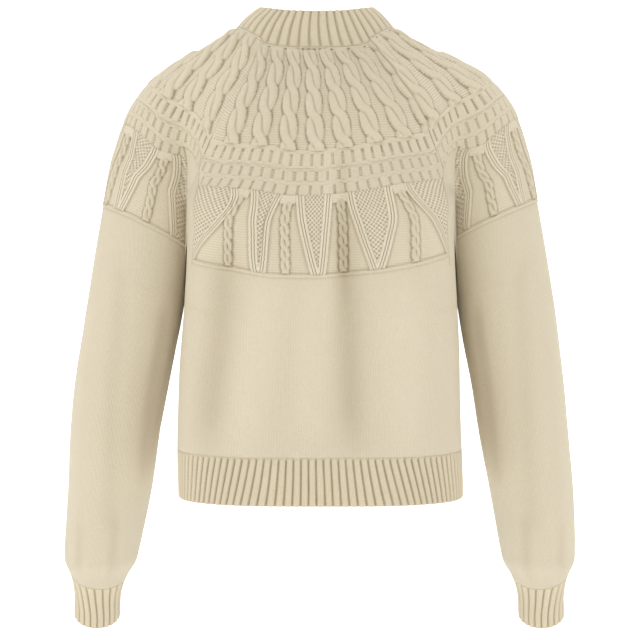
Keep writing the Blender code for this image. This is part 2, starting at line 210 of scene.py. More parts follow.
# Ranges searched for the surface, how points are moved onto it, and how fine rough rows and paths are.
BODY_REACH = (0.0, 250.0)
SLEEVE_REACH = (60.0, 400.0)
HALVINGS = 40
SETTLE_STEPS = 8
TOUCH_STEPS = 3
SETTLE_LIMIT = 12
LEAST_SLOPE = 0.2
LEAST_SPOKE = 1e-6
ROUGH_COLUMNS = 161
PATH_POINTS = 400
ARM_STEP = 5

# Rows made in full on the yoke; the others are blended from them.
KEY_ROWS = (0, 0.1, 0.2, 0.3, 0.4, 0.48, 0.72, 0.8, 0.9, 1)
PIN_REACH = 0.12


def eased(value):
    """0 below 0, 1 above 1, and a smooth step between."""
    value = np.clip(value, 0, 1)
    return value * value * (3 - 2 * value)


def smooth_step(first, last, first_slope, last_slope, step, t):
    """Cubic between two values with given slopes, at a share t of the step between their places."""
    start = first * (1 + 2 * t) + first_slope * step * t
    end = last * (3 - 2 * t) - last_slope * step * (1 - t)
    return start * (1 - t) ** 2 + end * t**2


def curve_of(table, name):
    """One column of a table as a smooth function of its first column, straight past both ends."""
    names, *rows = table
    rows = np.array(sorted(rows), float)
    places = rows[:, 0]
    values = rows[:, names.index(name)]
    slopes = np.gradient(values, places)

    def read(place):
        inside = np.clip(place, places[0], places[-1])
        left = np.clip(np.searchsorted(places, inside) - 1, 0, len(places) - 2)
        step = places[left + 1] - places[left]
        t = (inside - places[left]) / step
        beyond = np.where(place < places[0], slopes[0], slopes[-1]) * (place - inside)
        return smooth_step(values[left], values[left + 1], slopes[left], slopes[left + 1], step, t) + beyond

    return read


def distances(path):
    """How far along a path each of its points lies."""
    lengths = np.linalg.norm(np.diff(path, axis=0), axis=1)
    return np.concatenate([[0], np.cumsum(lengths)])


def path_through(knots):
    """Dense smooth path through a few points in space."""
    places = distances(knots)
    table = [("place", "x", "y", "z"), *map(tuple, np.column_stack([places, knots]))]
    steps = np.linspace(0, places[-1], PATH_POINTS)
    return np.column_stack([curve_of(table, name)(steps) for name in "xyz"])


def point_along(path, shares):
    """Points at the given shares of a path's length."""
    places = distances(path)
    wanted = np.asarray(shares) * places[-1]
    return np.stack([np.interp(wanted, places, path[:, axis]) for axis in range(3)], axis=-1)


def root(function, inside, outside):
    """Where a function that is negative inside turns positive, by halving the interval."""
    for _ in range(HALVINGS):
        middle = (inside + outside) / 2
        within = function(middle) < 0
        inside = np.where(within, middle, inside)
        outside = np.where(within, outside, middle)
    return (inside + outside) / 2


body_half_width = curve_of(BODY, "half_width")
body_back = curve_of(BODY, "back")
body_front = curve_of(BODY, "front")
body_back_corner = curve_of(BODY, "back_corner")
body_front_corner = curve_of(BODY, "front_corner")
sleeve_x = curve_of(SLEEVE, "centre_x")
sleeve_y = curve_of(SLEEVE, "centre_y")
sleeve_radius = curve_of(SLEEVE, "radius")
sleeve_deepen = curve_of(SLEEVE, "deepen")
melt_width = curve_of(MELT, "width")
sway = curve_of(SWAY, "shift")


def body_section(y, height):
    """Depth and corner of the body's level section, behind or in front as y is."""
    depth = np.where(y < 0, body_back(height), body_front(height))
    corner = np.where(y < 0, body_back_corner(height), body_front_corner(height))
    return depth, corner


def body_only(points):
    """Distance out from the body's level section, along the spoke from its middle."""
    x, y, z = np.moveaxis(points, -1, 0)
    depth, corner = body_section(y, z)
    share = (np.abs(x / body_half_width(z)) ** corner + np.abs(y / depth) ** corner) ** (1 / corner)
    return np.hypot(x, y) * (1 - 1 / np.maximum(share, LEAST_SPOKE))


def sleeve_only(points):
    """Distance out from the level section of the sleeve on the point's own side."""
    x, y, z = np.moveaxis(points, -1, 0)
    return np.hypot(np.abs(x) - sleeve_x(z), (y - sleeve_y(z)) / sleeve_deepen(z)) - sleeve_radius(z)


def melted(first, second, width):
    """Union of two forms that run into one another over a width."""
    overlap = np.maximum(width - np.abs(first - second), 0)
    return np.minimum(first, second) - overlap**2 / (4 * width)


def held_apart(height):
    """How far each piece ignores the other: nothing over the shoulder, fully in the fold."""
    return np.clip((FOLD_TOP - height) * FOLD_SPLIT, 0, MOST_APART)


def body_form(points):
    other = sleeve_only(points) + held_apart(points[..., 2])
    return melted(body_only(points), other, melt_width(points[..., 2]))


def sleeve_form(points):
    """The sleeve keeps a little clear of the body in the fold, where the two lie side by side."""
    ramp = (FOLD_TOP - points[..., 2]) / CLEARANCE_RAMP + 1
    clearance = np.clip(ramp, 0, 1) * FOLD_CLEARANCE
    other = body_only(points) + held_apart(points[..., 2])
    return melted(sleeve_only(points) + clearance, other, melt_width(points[..., 2]))


def slope_of(form, points):
    """Gradient of a form, from its difference across a millimetre."""
    sides = [form(points + step) - form(points - step) for step in np.eye(3) / 2]
    return np.stack(sides, axis=-1)


def settled(points, form, steps=SETTLE_STEPS):
    """Points moved onto the surface of a form."""
    for _ in range(steps):
        slope = slope_of(form, points)
        square = np.maximum((slope**2).sum(axis=-1), LEAST_SLOPE**2)
        step = np.clip(form(points) / square, -SETTLE_LIMIT, SETTLE_LIMIT)
        points = points - step[..., None] * slope
    return points


def outward(form, points):
    slope = slope_of(form, points)
    return slope / np.linalg.norm(slope, axis=-1, keepdims=True)


def on_face(x, z, face):
    """Points of the back (face -1) or front (face 1) at places across and heights."""
    x, z = np.broadcast_arrays(np.asarray(x, float), np.asarray(z, float))
    low, high = (np.full(x.shape, reach) for reach in BODY_REACH)
    y = root(lambda y: body_form(np.stack([x, face * y, z], axis=-1)), low, high)
    return np.stack([x, face * y, z], axis=-1)


def side_x(y, height):
    """Half-width of the body's level section at places from back to front."""
    depth, corner = body_section(y, height)
    return body_half_width(height) * (1 - np.abs(y / depth) ** corner) ** (1 / corner)


def fold_points(height, face):
    """Where the side of the body meets the inside of the sleeve, at given heights."""
    width = melt_width(height)
    lift = np.maximum(width - held_apart(height), 0) ** 2 / (4 * width)
    radius = sleeve_radius(height) + lift
    deep = radius * sleeve_deepen(height)

    def apart(y):
        inner = sleeve_x(height) - radius * np.sqrt(np.maximum(1 - (y / deep) ** 2, 0))
        return inner - lift - side_x(sleeve_y(height) + face * y, height)

    y = sleeve_y(height) + face * root(apart, np.zeros(deep.shape), deep)
    return np.stack([side_x(y, height) + lift, y, height], axis=-1)


def underarm_height():
    def apart(height):
        return sleeve_x(height) - sleeve_radius(height) - side_x(sleeve_y(height), height)

    return float(root(apart, *map(float, UNDERARM_SEARCH)))


UNDERARM = underarm_height()


def raglan(table, face):
    """Seam from the neck to the underarm: by table on the shoulder, then down the fold."""
    heights, across = np.array(table[1:], float).T
    shares = np.linspace(1, 0, VALLEY_STEPS)
    fold = fold_points(UNDERARM + (VALLEY_START - UNDERARM) * shares**2, face)
    path = path_through(np.concatenate([on_face(across, heights, face), fold]))
    above = path[:, 2] > FOLD_TOP
    path[above] = settled(path[above], body_form)
    return path


def row_height(name, row):
    names, *rows = ROW_HEIGHTS
    return np.interp(row, [entry[0] for entry in rows], [entry[names.index(name)] for entry in rows])


def middle_path(name, face):
    heights = np.linspace(row_height(name, 0), row_height(name, 1), PATH_KNOTS)
    return path_through(on_face(0, heights, face))


def sleeve_top_path():
    """Line over the shoulder and down the outside of the sleeve, to the underarm row."""
    height = SLEEVE_TOP_FOOT * np.linspace(0, 1, PATH_KNOTS) ** SHOULDER_CROWDING
    y = SHOULDER_Y + (sleeve_y(height) - SHOULDER_Y) * np.minimum(-height / SHOULDER_DEPTH, 1)
    low, high = (np.full(height.shape, reach) for reach in SLEEVE_REACH)
    x = root(lambda x: sleeve_form(np.stack([x, y, height], axis=-1)), low, high)
    return path_through(np.stack([x, y, height], axis=-1))


RAGLANS = {-1: raglan(BACK_RAGLAN, -1), 1: raglan(FRONT_RAGLAN, 1)}
MIDDLES = {-1: middle_path("back", -1), 1: middle_path("front", 1)}
SLEEVE_TOP = sleeve_top_path()


def respaced(points, count, gap):
    """Rows spaced evenly, kept clear of both ends by half a seam gap."""
    rows = []
    for row in points:
        length = np.linalg.norm(np.diff(row, axis=0), axis=1).sum()
        rows.append(point_along(row, np.linspace(gap / 2 / length, 1 - gap / 2 / length, count + 1)))
    return np.array(rows)


def lines_between(places, lines, wanted):
    """Whole knit rows blended smoothly from those made at a few places."""
    slopes = np.gradient(lines, places, axis=0)
    left = np.clip(np.searchsorted(places, wanted, side="right") - 1, 0, len(places) - 2)
    step = (places[left + 1] - places[left])[:, None, None]
    t = (wanted - places[left])[:, None, None] / step
    return smooth_step(lines[left], lines[left + 1], slopes[left], slopes[left + 1], step, t)


def pinned(lines, starts, ends):
    """Rows with both ends moved onto the seams, fading out along the row."""
    share = np.linspace(0, 1, lines.shape[1])[None, :, None]
    near_start = eased(1 - share / PIN_REACH)
    near_end = eased(1 - (1 - share) / PIN_REACH)
    return lines + (starts - lines[:, :1]) * near_start + (ends - lines[:, -1:]) * near_end


def filled_rows(rows, columns, gap, make, form, seams):
    """Knit rows between two seams: blended from the key rows on the yoke, made one by one below it."""
    keys = np.array(KEY_ROWS)
    upper = rows < 1
    lines = np.empty((len(rows), ROUGH_COLUMNS, 3))
    if upper.any():
        made = respaced(settled(make(keys), form), ROUGH_COLUMNS - 1, 0)
        blended = lines_between(keys, made, rows[upper])
        lines[upper] = pinned(blended, *(point_along(seam, rows[upper])[:, None] for seam in seams))
    if not upper.all():
        lines[~upper] = make(rows[~upper])
    return settled(respaced(settled(lines, form), columns, gap), form, TOUCH_STEPS)


def body_lines(face, rows):
    """Rough knit rows of the back or front: ovals from edge to edge through its middle."""
    name = "back" if face < 0 else "front"
    edge = point_along(RAGLANS[face], np.minimum(rows, 1))
    middle = point_along(MIDDLES[face], np.minimum(rows, 1))
    lower = rows > 1
    seams = (UNDERARM, row_height(name, 2), row_height(name, 3))
    height = np.interp(rows[lower], (1, 2, 3), seams)
    edge_y = sleeve_y(UNDERARM) * np.interp(rows[lower], (1, 2), (1, 0))
    edge[lower] = np.stack([side_x(edge_y, height), edge_y, height], axis=-1)
    middle[lower] = on_face(0, row_height(name, rows[lower]), face)
    angles = np.linspace(0, math.pi, ROUGH_COLUMNS)
    out = np.abs(np.cos(angles)) ** ROW_ROUNDING * np.sign(np.cos(angles))
    along = np.abs(np.sin(angles)) ** ROW_ROUNDING
    centre = edge * (0, 1, 1)
    points = centre[:, None] + along[:, None] * (middle - centre)[:, None]
    points[..., 0] += out * edge[:, :1]
    return points


def body_rows(face, rows, columns):
    """Knit rows of the back or front, from the right-hand edge to the left-hand one."""
    seams = (RAGLANS[face], RAGLANS[face] * (-1, 1, 1))
    return filled_rows(rows, columns, SEAM_GAP, partial(body_lines, face), body_form, seams)


def arc_through(start, middle, end, count):
    """Circular arc through three points in space."""
    chord = end - start
    across = middle - start
    normal = np.cross(chord, across)
    to_centre = np.cross(across @ across * chord - chord @ chord * across, normal)
    centre = start - to_centre / (2 * normal @ normal)
    first = start - centre
    radius = np.linalg.norm(first)
    first = first / radius
    unit = normal / np.linalg.norm(normal)
    second = np.cross(unit, first)
    turn = math.atan2((end - centre) @ second, (end - centre) @ first)
    halfway = math.atan2((middle - centre) @ second, (middle - centre) @ first) % (2 * math.pi)
    turn %= 2 * math.pi
    if halfway > turn:
        turn -= 2 * math.pi
    angles = np.linspace(0, turn, count)[:, None]
    return centre + radius * (np.cos(angles) * first + np.sin(angles) * second)


def arm_middle(height):
    return np.array([sleeve_x(height), sleeve_y(height), height], float)


def sleeve_ring(row, count):
    """Circle round the arm below the underarm, square to the arm except near the underarm."""
    top = SLEEVE_TOP[-1]
    underarm = RAGLANS[-1][-1]
    start_height = (top[2] + underarm[2]) / 2
    height = np.interp(row, (1, 2, 3), (start_height, CUFF_SEAM_HEIGHT, CUFF_EDGE_HEIGHT))
    centre = arm_middle(height)
    down = arm_middle(height - ARM_STEP) - centre
    down /= np.linalg.norm(down)
    across = (top - underarm) / np.linalg.norm(top - underarm)
    first_down = np.cross(across, (0, -1, 0))
    share = eased((row - 1) / SQUARE_UP)
    normal = first_down * (1 - share) + down * share
    normal /= np.linalg.norm(normal)
    side = np.array([1, 0, 0]) - normal[0] * normal
    side /= np.linalg.norm(side)
    back = np.cross(normal, side)
    back *= -np.sign(back[1])
    angles = np.linspace(math.pi, -math.pi, count)[:, None]
    return centre + sleeve_radius(height) * (np.cos(angles) * side + np.sin(angles) * back)


def sleeve_lines(rows):
    """Rough knit rows of the sleeve: arcs over the shoulder, then rings round the arm."""
    paths = (RAGLANS[-1], SLEEVE_TOP, RAGLANS[1])
    starts, tops, ends = (point_along(path, np.minimum(rows, 1)) for path in paths)
    lines = []
    for row, start, top, end in zip(rows, starts, tops, ends):
        if row < 1:
            lines.append(arc_through(start, top, end, ROUGH_COLUMNS))
        else:
            lines.append(sleeve_ring(row, ROUGH_COLUMNS))
    return np.array(lines)


def sleeve_rows(rows, columns, gap=SEAM_GAP):
    """Knit rows of the right sleeve, from its back edge over the top to its front edge."""
    return filled_rows(rows, columns, gap, sleeve_lines, sleeve_form, (RAGLANS[-1], RAGLANS[1]))


def folds_at(points):
    """How far the soft folds move the cloth out, at points of the plain form."""
    x, y, z = np.moveaxis(points, -1, 0)
    total = np.zeros(x.shape)
    for face, top_x, top_z, foot_x, foot_z, half_width, depth in FOLDS[1:]:
        share = (top_z - z) / (top_z - foot_z)
        across = x - (top_x + (foot_x - top_x) * share)
        ends = eased(np.minimum(top_z - z, z - foot_z) / FOLD_END + 0.5)
        facing = np.clip(face * y / FOLD_FACING, 0, 1)
        total += depth * ends * facing * np.exp(-((across / half_width) ** 2))
    return total


def leaned(points):
    """Points with the figure's slight lean."""
    shifted = points.copy()
    shifted[..., 0] += sway(points[..., 2])
    return shifted


# ---------------------------------------------------------------- knit chart of the yoke

# Height of one knit stitch, and the length of row number 0 to 1 down the yoke.
STITCH_HEIGHT = 2.3
YOKE_SLANT = 300.0

# Rows of the chart, as row numbers, and how softly the zones end.
CABLE_TOP = 0.012
CABLE_FOOT = 0.394
CABLE_EDGE = 0.004
CROSSING_FIRST = 0.083
CROSSING_STEP = 0.094
RIDGE_SPREAD = 1.25
RIDGES = (
    ("row", "half_height", "lift"),
    (0.400, 1.9, 1.6),
    (0.459, 2.6, 1.5),
    (0.510, 2.2, 1.5),
    (0.836, 1.1, 1.3),
)
RIB_BANDS = (
    ("top", "foot", "half_a_rib_on"),
    (0.407, 0.450, 0.0),
    (0.469, 0.502, 0.5),
    (0.518, 0.548, 0.0),
)
BAND_EDGE = 0.006
SLIT = (0.75, 1.1)
RIB_LIFT = (-1.8, 3.2)
TENT_TOP = 0.553
TENT_FOOT = 0.829
TENT_EDGE = 0.003
YOKE_END = 0.856

# Rope cables: half-width down the yoke, and the shape of the two strands. The powers round a strand's top,
# and the rise is how soon its flank counts as knit.
CABLE_HALF = (
    ("row", "half"),
    (0.0, 6.4),
    (0.1, 7.4),
    (0.2, 8.5),
    (0.33, 9.3),
)
STRAND_SWING = 0.46
STRAND_WIDTH = 0.55
STRAND_SNAP = 1.5
STRAND_POWERS = (2.4, 0.55)
STRAND_HEIGHT = 2.7
STRAND_CROSS = 2.0
STRAND_RISE = 6
PURL_DEPTH = 0.5

# Places of the cables along two rows; one at a raglan seam runs on in the next piece.
CABLE_ROWS = (0.14, 0.33)
BACK_CABLES = (
    (0.004, 0.160, 0.298, 0.428, 0.555, 0.682, 0.808, 0.938),
    (0.000, 0.136, 0.275, 0.407, 0.529, 0.651, 0.778, 0.906),
)
FRONT_CABLES = (
    (0.075, 0.217, 0.358, 0.500, 0.642, 0.783, 0.925),
    (0.085, 0.220, 0.360, 0.500, 0.640, 0.780, 0.915),
)
RIGHT_CABLES = (
    (0.022, 0.150, 0.280, 0.395, 0.500, 0.605, 0.720, 0.850, 0.978),
    (0.040, 0.180, 0.300, 0.405, 0.500, 0.595, 0.700, 0.820, 0.960),
)
LEFT_CABLES = (
    (0.075, 0.185, 0.295, 0.400, 0.500, 0.600, 0.705, 0.815, 0.925),
    (0.060, 0.195, 0.300, 0.402, 0.500, 0.598, 0.700, 0.805, 0.940),
)

# Tents: places along the row of the top, the foot of the small rope and the wedge tips on both sides,
# and how far each side bows along the row.
BACK_TENTS = (
    ("top", "rope_foot", "first_tip", "last_tip", "first_bow", "last_bow"),
    (0.226, 0.256, 0.132, 0.357, 0.014, 0.006),
    (0.438, 0.443, 0.357, 0.507, 0.006, 0.006),
    (0.605, 0.588, 0.507, 0.657, -0.004, 0.010),
    (0.765, 0.739, 0.657, 0.868, -0.021, -0.045),
)
FRONT_TENTS = (
    ("top", "rope_foot", "first_tip", "last_tip", "first_bow", "last_bow"),
    (0.236, 0.255, 0.130, 0.345, 0.03, 0),
    (0.415, 0.420, 0.345, 0.500, 0, 0),
    (0.585, 0.580, 0.500, 0.655, 0, 0),
    (0.764, 0.745, 0.655, 0.870, 0, -0.03),
)
SLEEVE_TENTS = (
    ("top", "rope_foot", "first_tip", "last_tip", "first_bow", "last_bow"),
    (0.224, 0.203, 0.072, 0.322, 0, 0),
    (0.408, 0.412, 0.322, 0.500, 0, 0),
    (0.592, 0.588, 0.500, 0.678, 0, 0),
    (0.776, 0.797, 0.678, 0.928, 0, 0),
)
TENT_BAR = 7.2
BOW_SCALE = 6.75
BAR_EDGE = 2
BAR_LIFT = 1.5
CAP_FOOT = 0.026
CAP_EDGE = 0.006
TENT_PURL = 0.45
LINES = 3
LINE_PITCH = 2.7
LINE_LIFT = 1.1
LINE_EDGE = 0.8
LINE_WAVE = 0.1
LINE_WAVE_STEP = 5.2
TIP_HALF = 7.6
SMALL_ROPE_HALF = 5.2
SMALL_STRAND_WIDTH = 0.46
SMALL_ROPE_STEP = 0.041
SMALL_ROPE_LIFT = 3.4
SMALL_ROPE_END = (0.006, 0.008)
MOSS_ROW = 4.8
MOSS_SPREAD = 0.3
MOSS_LIFT = (0.5, 0.45)

# How much higher the pattern's rows lie than the counted rows, along each piece.
BACK_RISE = (
    ("share", "rise"),
    (0.0, 0.050),
    (0.2, 0.034),
    (0.35, 0.012),
    (0.5, -0.005),
    (0.62, -0.005),
    (0.72, 0.010),
    (1.0, 0.022),
)
FRONT_RISE = (
    ("share", "rise"),
    (0.0, 0.050),
    (0.25, 0.015),
    (0.5, 0.0),
    (0.75, 0.008),
    (1.0, 0.022),
)
RIGHT_RISE = (
    ("share", "rise"),
    (0.0, 0.050),
    (1.0, 0.050),
)
LEFT_RISE = (
    ("share", "rise"),
    (0.0, 0.022),
    (0.25, 0.032),
    (0.75, 0.032),
    (1.0, 0.022),
)

# Where the rows of a sleeve dip into the fold, its pattern is moved along them.
SLEEVE_BEND_ROW = 0.65
SLEEVE_BEND_REACH = 0.16
SLEEVE_BEND_EDGE = 0.1

# Visible raglan line: it leaves the edge of the back or front where the seam turns into the fold.
BODY_SEAM_LINE = (
    ("row", "from_edge"),
    (0.44, -0.01),
    (0.50, 0.018),
    (0.56, 0.058),
    (0.60, 0.082),
    (0.64, 0.105),
    (0.68, 0.122),
    (0.72, 0.131),
    (0.84, 0.134),
    (1.0, 0.13),
)
SLEEVE_SEAM_LINE = (
    ("row", "from_edge"),
    (0.475, -0.01),
    (0.49, 0.155),
    (0.52, 0.138),
    (0.56, 0.105),
    (0.60, 0.06),
    (0.64, 0.01),
    (0.66, -0.02),
)
EYELET_DEPTH = 1.9
EYELET_SHARP = 2
EYELET_PLACE = (2.2, 3.0, 1.2)
STRIP_EDGE = 1.5
SEAM_LINE_DEPTH = 0.9
SEAM_LINE_HALF = 1.3
SEAM_LINE_HEAD = (0.47, 0.03)
SEAM_LINE_FOOT = (0.84, 0.02)


def window(value, low, high, edge):
    """1 between low and high, falling softly to 0 over an edge outside them."""
    return eased((value - low) / edge + 1) * eased((high - value) / edge + 1)


def column_at(table, place):
    """Second column of a short table at places in its first."""
    places, values = np.array(table[1:], float).T
    return np.interp(place, places, values)


def hollows(height):
    """Painted shade: how far each point of a grid of heights lies in a hollow between its neighbours, 0 to
    1.
    """
    smooth = height
    for axis in (0, 1):
        places = np.arange(smooth.shape[axis])
        near = 0
        for step in range(-HOLLOW_REACH, HOLLOW_REACH + 1):
            near = near + np.take(smooth, np.clip(places + step, 0, places[-1]), axis)
        smooth = near / (2 * HOLLOW_REACH + 1)
    return np.clip((smooth - height) / HOLLOW_DEPTH, 0, 1)


def mound(distance, half):
    """Ridge between an arc and a bell in shape, 1 on its line and low beyond its half-width."""
    inside = np.clip(1 - (distance / half) ** 2, 0, 1)
    return 0.5 * np.sqrt(inside) + 0.5 * np.exp(-1.6 * (distance / half) ** 2)


def rope(across, turn, half_width, step, plumpness=STRAND_WIDTH):
    """Two plump strands twisted round each other, from 0 at the ground to 1 on the front strand."""
    height = np.zeros(np.broadcast(across, turn).shape)
    swing = STRAND_SWING * half_width / math.tanh(STRAND_SNAP)
    for phase in (0, 1):
        angle = math.pi * (turn + phase)
        side = np.tanh(STRAND_SNAP * np.cos(angle))
        centre = swing * side
        slope = swing * (1 - side**2) * STRAND_SNAP * math.pi / step * np.sin(angle)
        width = plumpness * half_width * np.sqrt(1 + slope**2)
        dome = np.clip(1 - np.abs((across - centre) / width) ** STRAND_POWERS[0], 0, 1) ** STRAND_POWERS[1]
        front = 0.5 + 0.5 * np.sin(angle)
        level = (dome * STRAND_HEIGHT + front * STRAND_CROSS) / (STRAND_HEIGHT + STRAND_CROSS)
        height = np.maximum(height, np.where(dome > 0, level, 0))
    return height


def flank(strands):
    """1 where a strand of rope stands, falling to 0 down its flank."""
    return eased(strands * STRAND_RISE)


class Chart:
    """Relief of one panel: height above the plain cloth, and how far each point is purl."""

    def __init__(
        self, cables, slits, first_slit, tents, twist, rise, bend, seam_line, moss_columns, eyelets
    ):
        self.cables = cables
        self.slits = slits
        self.first_slit = first_slit
        self.tents = tents
        self.twist = twist
        self.rise = rise
        self.bend = bend
        self.seam_line = seam_line
        self.moss_columns = moss_columns
        self.eyelets = eyelets

    def fields(self, share, row, length):
        """Relief in millimetres, shares of purl, moss and border lines, and the place across the lines."""
        risen = row + column_at(self.rise, share)
        height, purl = self.cable_zone(share, risen, length)
        for top, foot, half_on in RIB_BANDS[1:]:
            inside = window(risen, top, foot, BAND_EDGE)
            rib = self.short_ribs(share, length, half_on)
            height += inside * (RIB_LIFT[0] + RIB_LIFT[1] * rib)
            purl = np.maximum(purl, inside * (1 - rib))
        for ridge_row, half_height, lift in RIDGES[1:]:
            distance = (risen - ridge_row) * YOKE_SLANT
            height = np.maximum(height, mound(distance, half_height * RIDGE_SPREAD) * lift)
            purl = purl * (1 - mound(distance, half_height))
        zone = window(risen, TENT_TOP, TENT_FOOT, TENT_EDGE)
        made = self.tent_zone(share, row, risen, length)
        made["relief"] = height * (1 - zone) + made["relief"] * zone
        made["purl"] = purl * (1 - zone) + made["purl"] * zone
        made["moss"] *= zone
        made["border"] *= zone
        hole = (0.5 + 0.5 * np.cos(2 * math.pi * share * self.eyelets)) ** EYELET_SHARP
        made["relief"] -= EYELET_DEPTH * hole * window(row * YOKE_SLANT, *EYELET_PLACE)
        strip, groove = self.strip(share, row, length)
        for label in ("relief", "purl", "moss", "border"):
            made[label] *= 1 - strip
        made["relief"] -= SEAM_LINE_DEPTH * groove
        made["dots"] = np.stack([self.moss_place(share), risen * YOKE_SLANT / MOSS_ROW], axis=-1)
        return made

    def cable_zone(self, share, risen, length):
        """Height and purl of the rope cables on their purl ground."""
        ground = window(risen, CABLE_TOP, CABLE_FOOT, CABLE_EDGE)
        half = column_at(CABLE_HALF, risen)
        turn = (risen - CROSSING_FIRST) / CROSSING_STEP + 0.5
        down = (risen - CABLE_ROWS[0]) / (CABLE_ROWS[1] - CABLE_ROWS[0])
        strands = np.zeros(share.shape)
        for upper, lower in zip(*self.cables):
            across = (share - upper - (lower - upper) * down) * length * self.twist
            strands = np.maximum(strands, rope(across, turn, half, CROSSING_STEP * YOKE_SLANT))
        height = ground * (strands * (STRAND_HEIGHT + STRAND_CROSS) - PURL_DEPTH)
        return height, ground * (1 - flank(strands))

    def short_ribs(self, share, length, half_on):
        """1 on the short ribs of a band, 0 in the slits between them."""
        phase = (share - self.first_slit) * self.slits + half_on
        off = np.abs((phase + 0.5) % 1 - 0.5) * length / self.slits
        return eased((off - SLIT[0]) / SLIT[1])

    def unbent(self, share, row):
        """Share along the row, freed of the shift where the sleeve's rows dip into the fold."""
        down = np.clip(1 - np.abs(row - SLEEVE_BEND_ROW) / SLEEVE_BEND_REACH, 0, 1)
        return share + self.bend * down * np.clip((0.5 - share) / SLEEVE_BEND_EDGE, 0, 1)

    def tent_zone(self, share, row, risen, length):
        """Fields of the tents, on wedges of moss stitch."""
        share = self.unbent(share, row)
        down = np.clip((risen - TENT_TOP) / (TENT_FOOT - TENT_TOP), 0, 1)
        depth = risen * YOKE_SLANT
        dots = np.cos(2 * math.pi * self.moss_place(share)) * np.cos(2 * math.pi * depth / MOSS_ROW)
        made = {label: np.zeros(share.shape) for label in ("border", "line")}
        made["relief"] = MOSS_LIFT[0] + MOSS_LIFT[1] * dots
        made["purl"] = np.full(share.shape, 0.5)
        made["moss"] = np.ones(share.shape)
        for tent in self.tents[1:]:
            beyond = self.past_tent(tent, share, down, length)
            near = (share > tent[2]) & (share < tent[3])
            self.add_lines(made, beyond, near, LINE_WAVE * np.sin(2 * math.pi * depth / LINE_WAVE_STEP))
            across = (share - tent[0] - (tent[1] - tent[0]) * down) * length
            self.add_small_rope(made, across, risen)
        return made

    def past_tent(self, tent, share, down, length):
        """How far each point lies outside the nearer side of a tent."""
        top, _, first_tip, last_tip, first_bow, last_bow = tent
        bar = TENT_BAR / length
        tip = TIP_HALF / length
        bowed = down * (1 - down) ** 2 * BOW_SCALE
        first = top - bar + (first_tip + tip - top + bar) * down + first_bow * bowed
        last = top + bar + (last_tip - tip - top - bar) * down + last_bow * bowed
        fall = (TENT_FOOT - TENT_TOP) * YOKE_SLANT
        run = np.where(share < top, first_tip - top, last_tip - top) * length
        return np.maximum(first - share, share - last) * length * fall / np.hypot(fall, run)

    def add_lines(self, made, beyond, near, wave):
        """Purl ground of a tent, and the knit lines along its sides."""
        inside = eased(0.5 - beyond / LINE_EDGE)
        lines = window(beyond, 0, LINES * LINE_PITCH, LINE_EDGE) * near
        for cover, lift, purl in ((inside, -PURL_DEPTH, TENT_PURL), (lines, LINE_LIFT, 0)):
            made["relief"] = made["relief"] * (1 - cover) + cover * lift
            made["purl"] = made["purl"] * (1 - cover) + cover * purl
            made["moss"] *= 1 - cover
        place = np.clip(beyond / LINE_PITCH + wave, 0.5, LINES - 0.5)
        made["line"] = np.where(lines > made["border"], place, made["line"])
        made["border"] = np.maximum(made["border"], lines)

    def add_small_rope(self, made, across, risen):
        """Small rope down the middle of a tent, and the smooth cap over its top."""
        turn = (risen - TENT_TOP) / SMALL_ROPE_STEP
        step = SMALL_ROPE_STEP * YOKE_SLANT
        strands = rope(across * self.twist, turn, SMALL_ROPE_HALF, step, SMALL_STRAND_WIDTH)
        strands *= window(risen, TENT_TOP + CAP_FOOT, TENT_FOOT - SMALL_ROPE_END[0], SMALL_ROPE_END[1])
        raised = np.where(strands > 0, strands * SMALL_ROPE_LIFT - PURL_DEPTH, made["relief"])
        cap = window(risen, TENT_TOP, TENT_TOP + CAP_FOOT, CAP_EDGE)
        cap = cap * window(across, -TENT_BAR, TENT_BAR, BAR_EDGE)
        made["relief"] = np.maximum(made["relief"], raised) * (1 - cap) + cap * BAR_LIFT
        made["purl"] *= 1 - flank(strands)
        made["moss"] *= 1 - cap

    def moss_place(self, share):
        """Columns of moss dots counted along the row: wider apart towards its ends."""
        return self.moss_columns * (share - MOSS_SPREAD * np.sin(2 * math.pi * share) / (2 * math.pi))

    def strip(self, share, row, length):
        """The plain strips beyond the visible raglan lines, and the groove along the lines."""
        inner = (np.minimum(share, 1 - share) - column_at(self.seam_line, row)) * length
        strip = eased(0.5 - inner / STRIP_EDGE)
        foot = eased((SEAM_LINE_FOOT[0] - row) / SEAM_LINE_FOOT[1] + 0.5)
        head = eased((row - SEAM_LINE_HEAD[0]) / SEAM_LINE_HEAD[1])
        return strip, np.exp(-((inner / SEAM_LINE_HALF) ** 2)) * foot * head


BODY_CHART = {"bend": 0, "seam_line": BODY_SEAM_LINE, "moss_columns": 66}
SLEEVE_CHART = {"tents": SLEEVE_TENTS, "seam_line": SLEEVE_SEAM_LINE, "moss_columns": 54, "eyelets": 19}
CHARTS = {
    "back_panel": Chart(
        cables=BACK_CABLES, slits=24, first_slit=0.079, tents=BACK_TENTS, twist=1, rise=BACK_RISE,
        eyelets=21, **BODY_CHART,
    ),
    "front_panel": Chart(
        cables=FRONT_CABLES, slits=21, first_slit=0.075, tents=FRONT_TENTS, twist=-1, rise=FRONT_RISE,
        eyelets=20, **BODY_CHART,
    ),
    "right_sleeve": Chart(
        cables=RIGHT_CABLES, slits=25, first_slit=0.02, twist=-1, rise=RIGHT_RISE, bend=0.06, **SLEEVE_CHART
    ),
    "left_sleeve": Chart(
        cables=LEFT_CABLES, slits=29, first_slit=0.025, twist=1, rise=LEFT_RISE, bend=0.062, **SLEEVE_CHART
    ),
}


# ---------------------------------------------------------------- meshes

# Length of the cloth below the underarm row, and the row where the finer grid of the tents starts.
LOWER_LENGTH = {"body": 147.0, "sleeve": 380.0}
CABLE_ZONE_END = 0.403

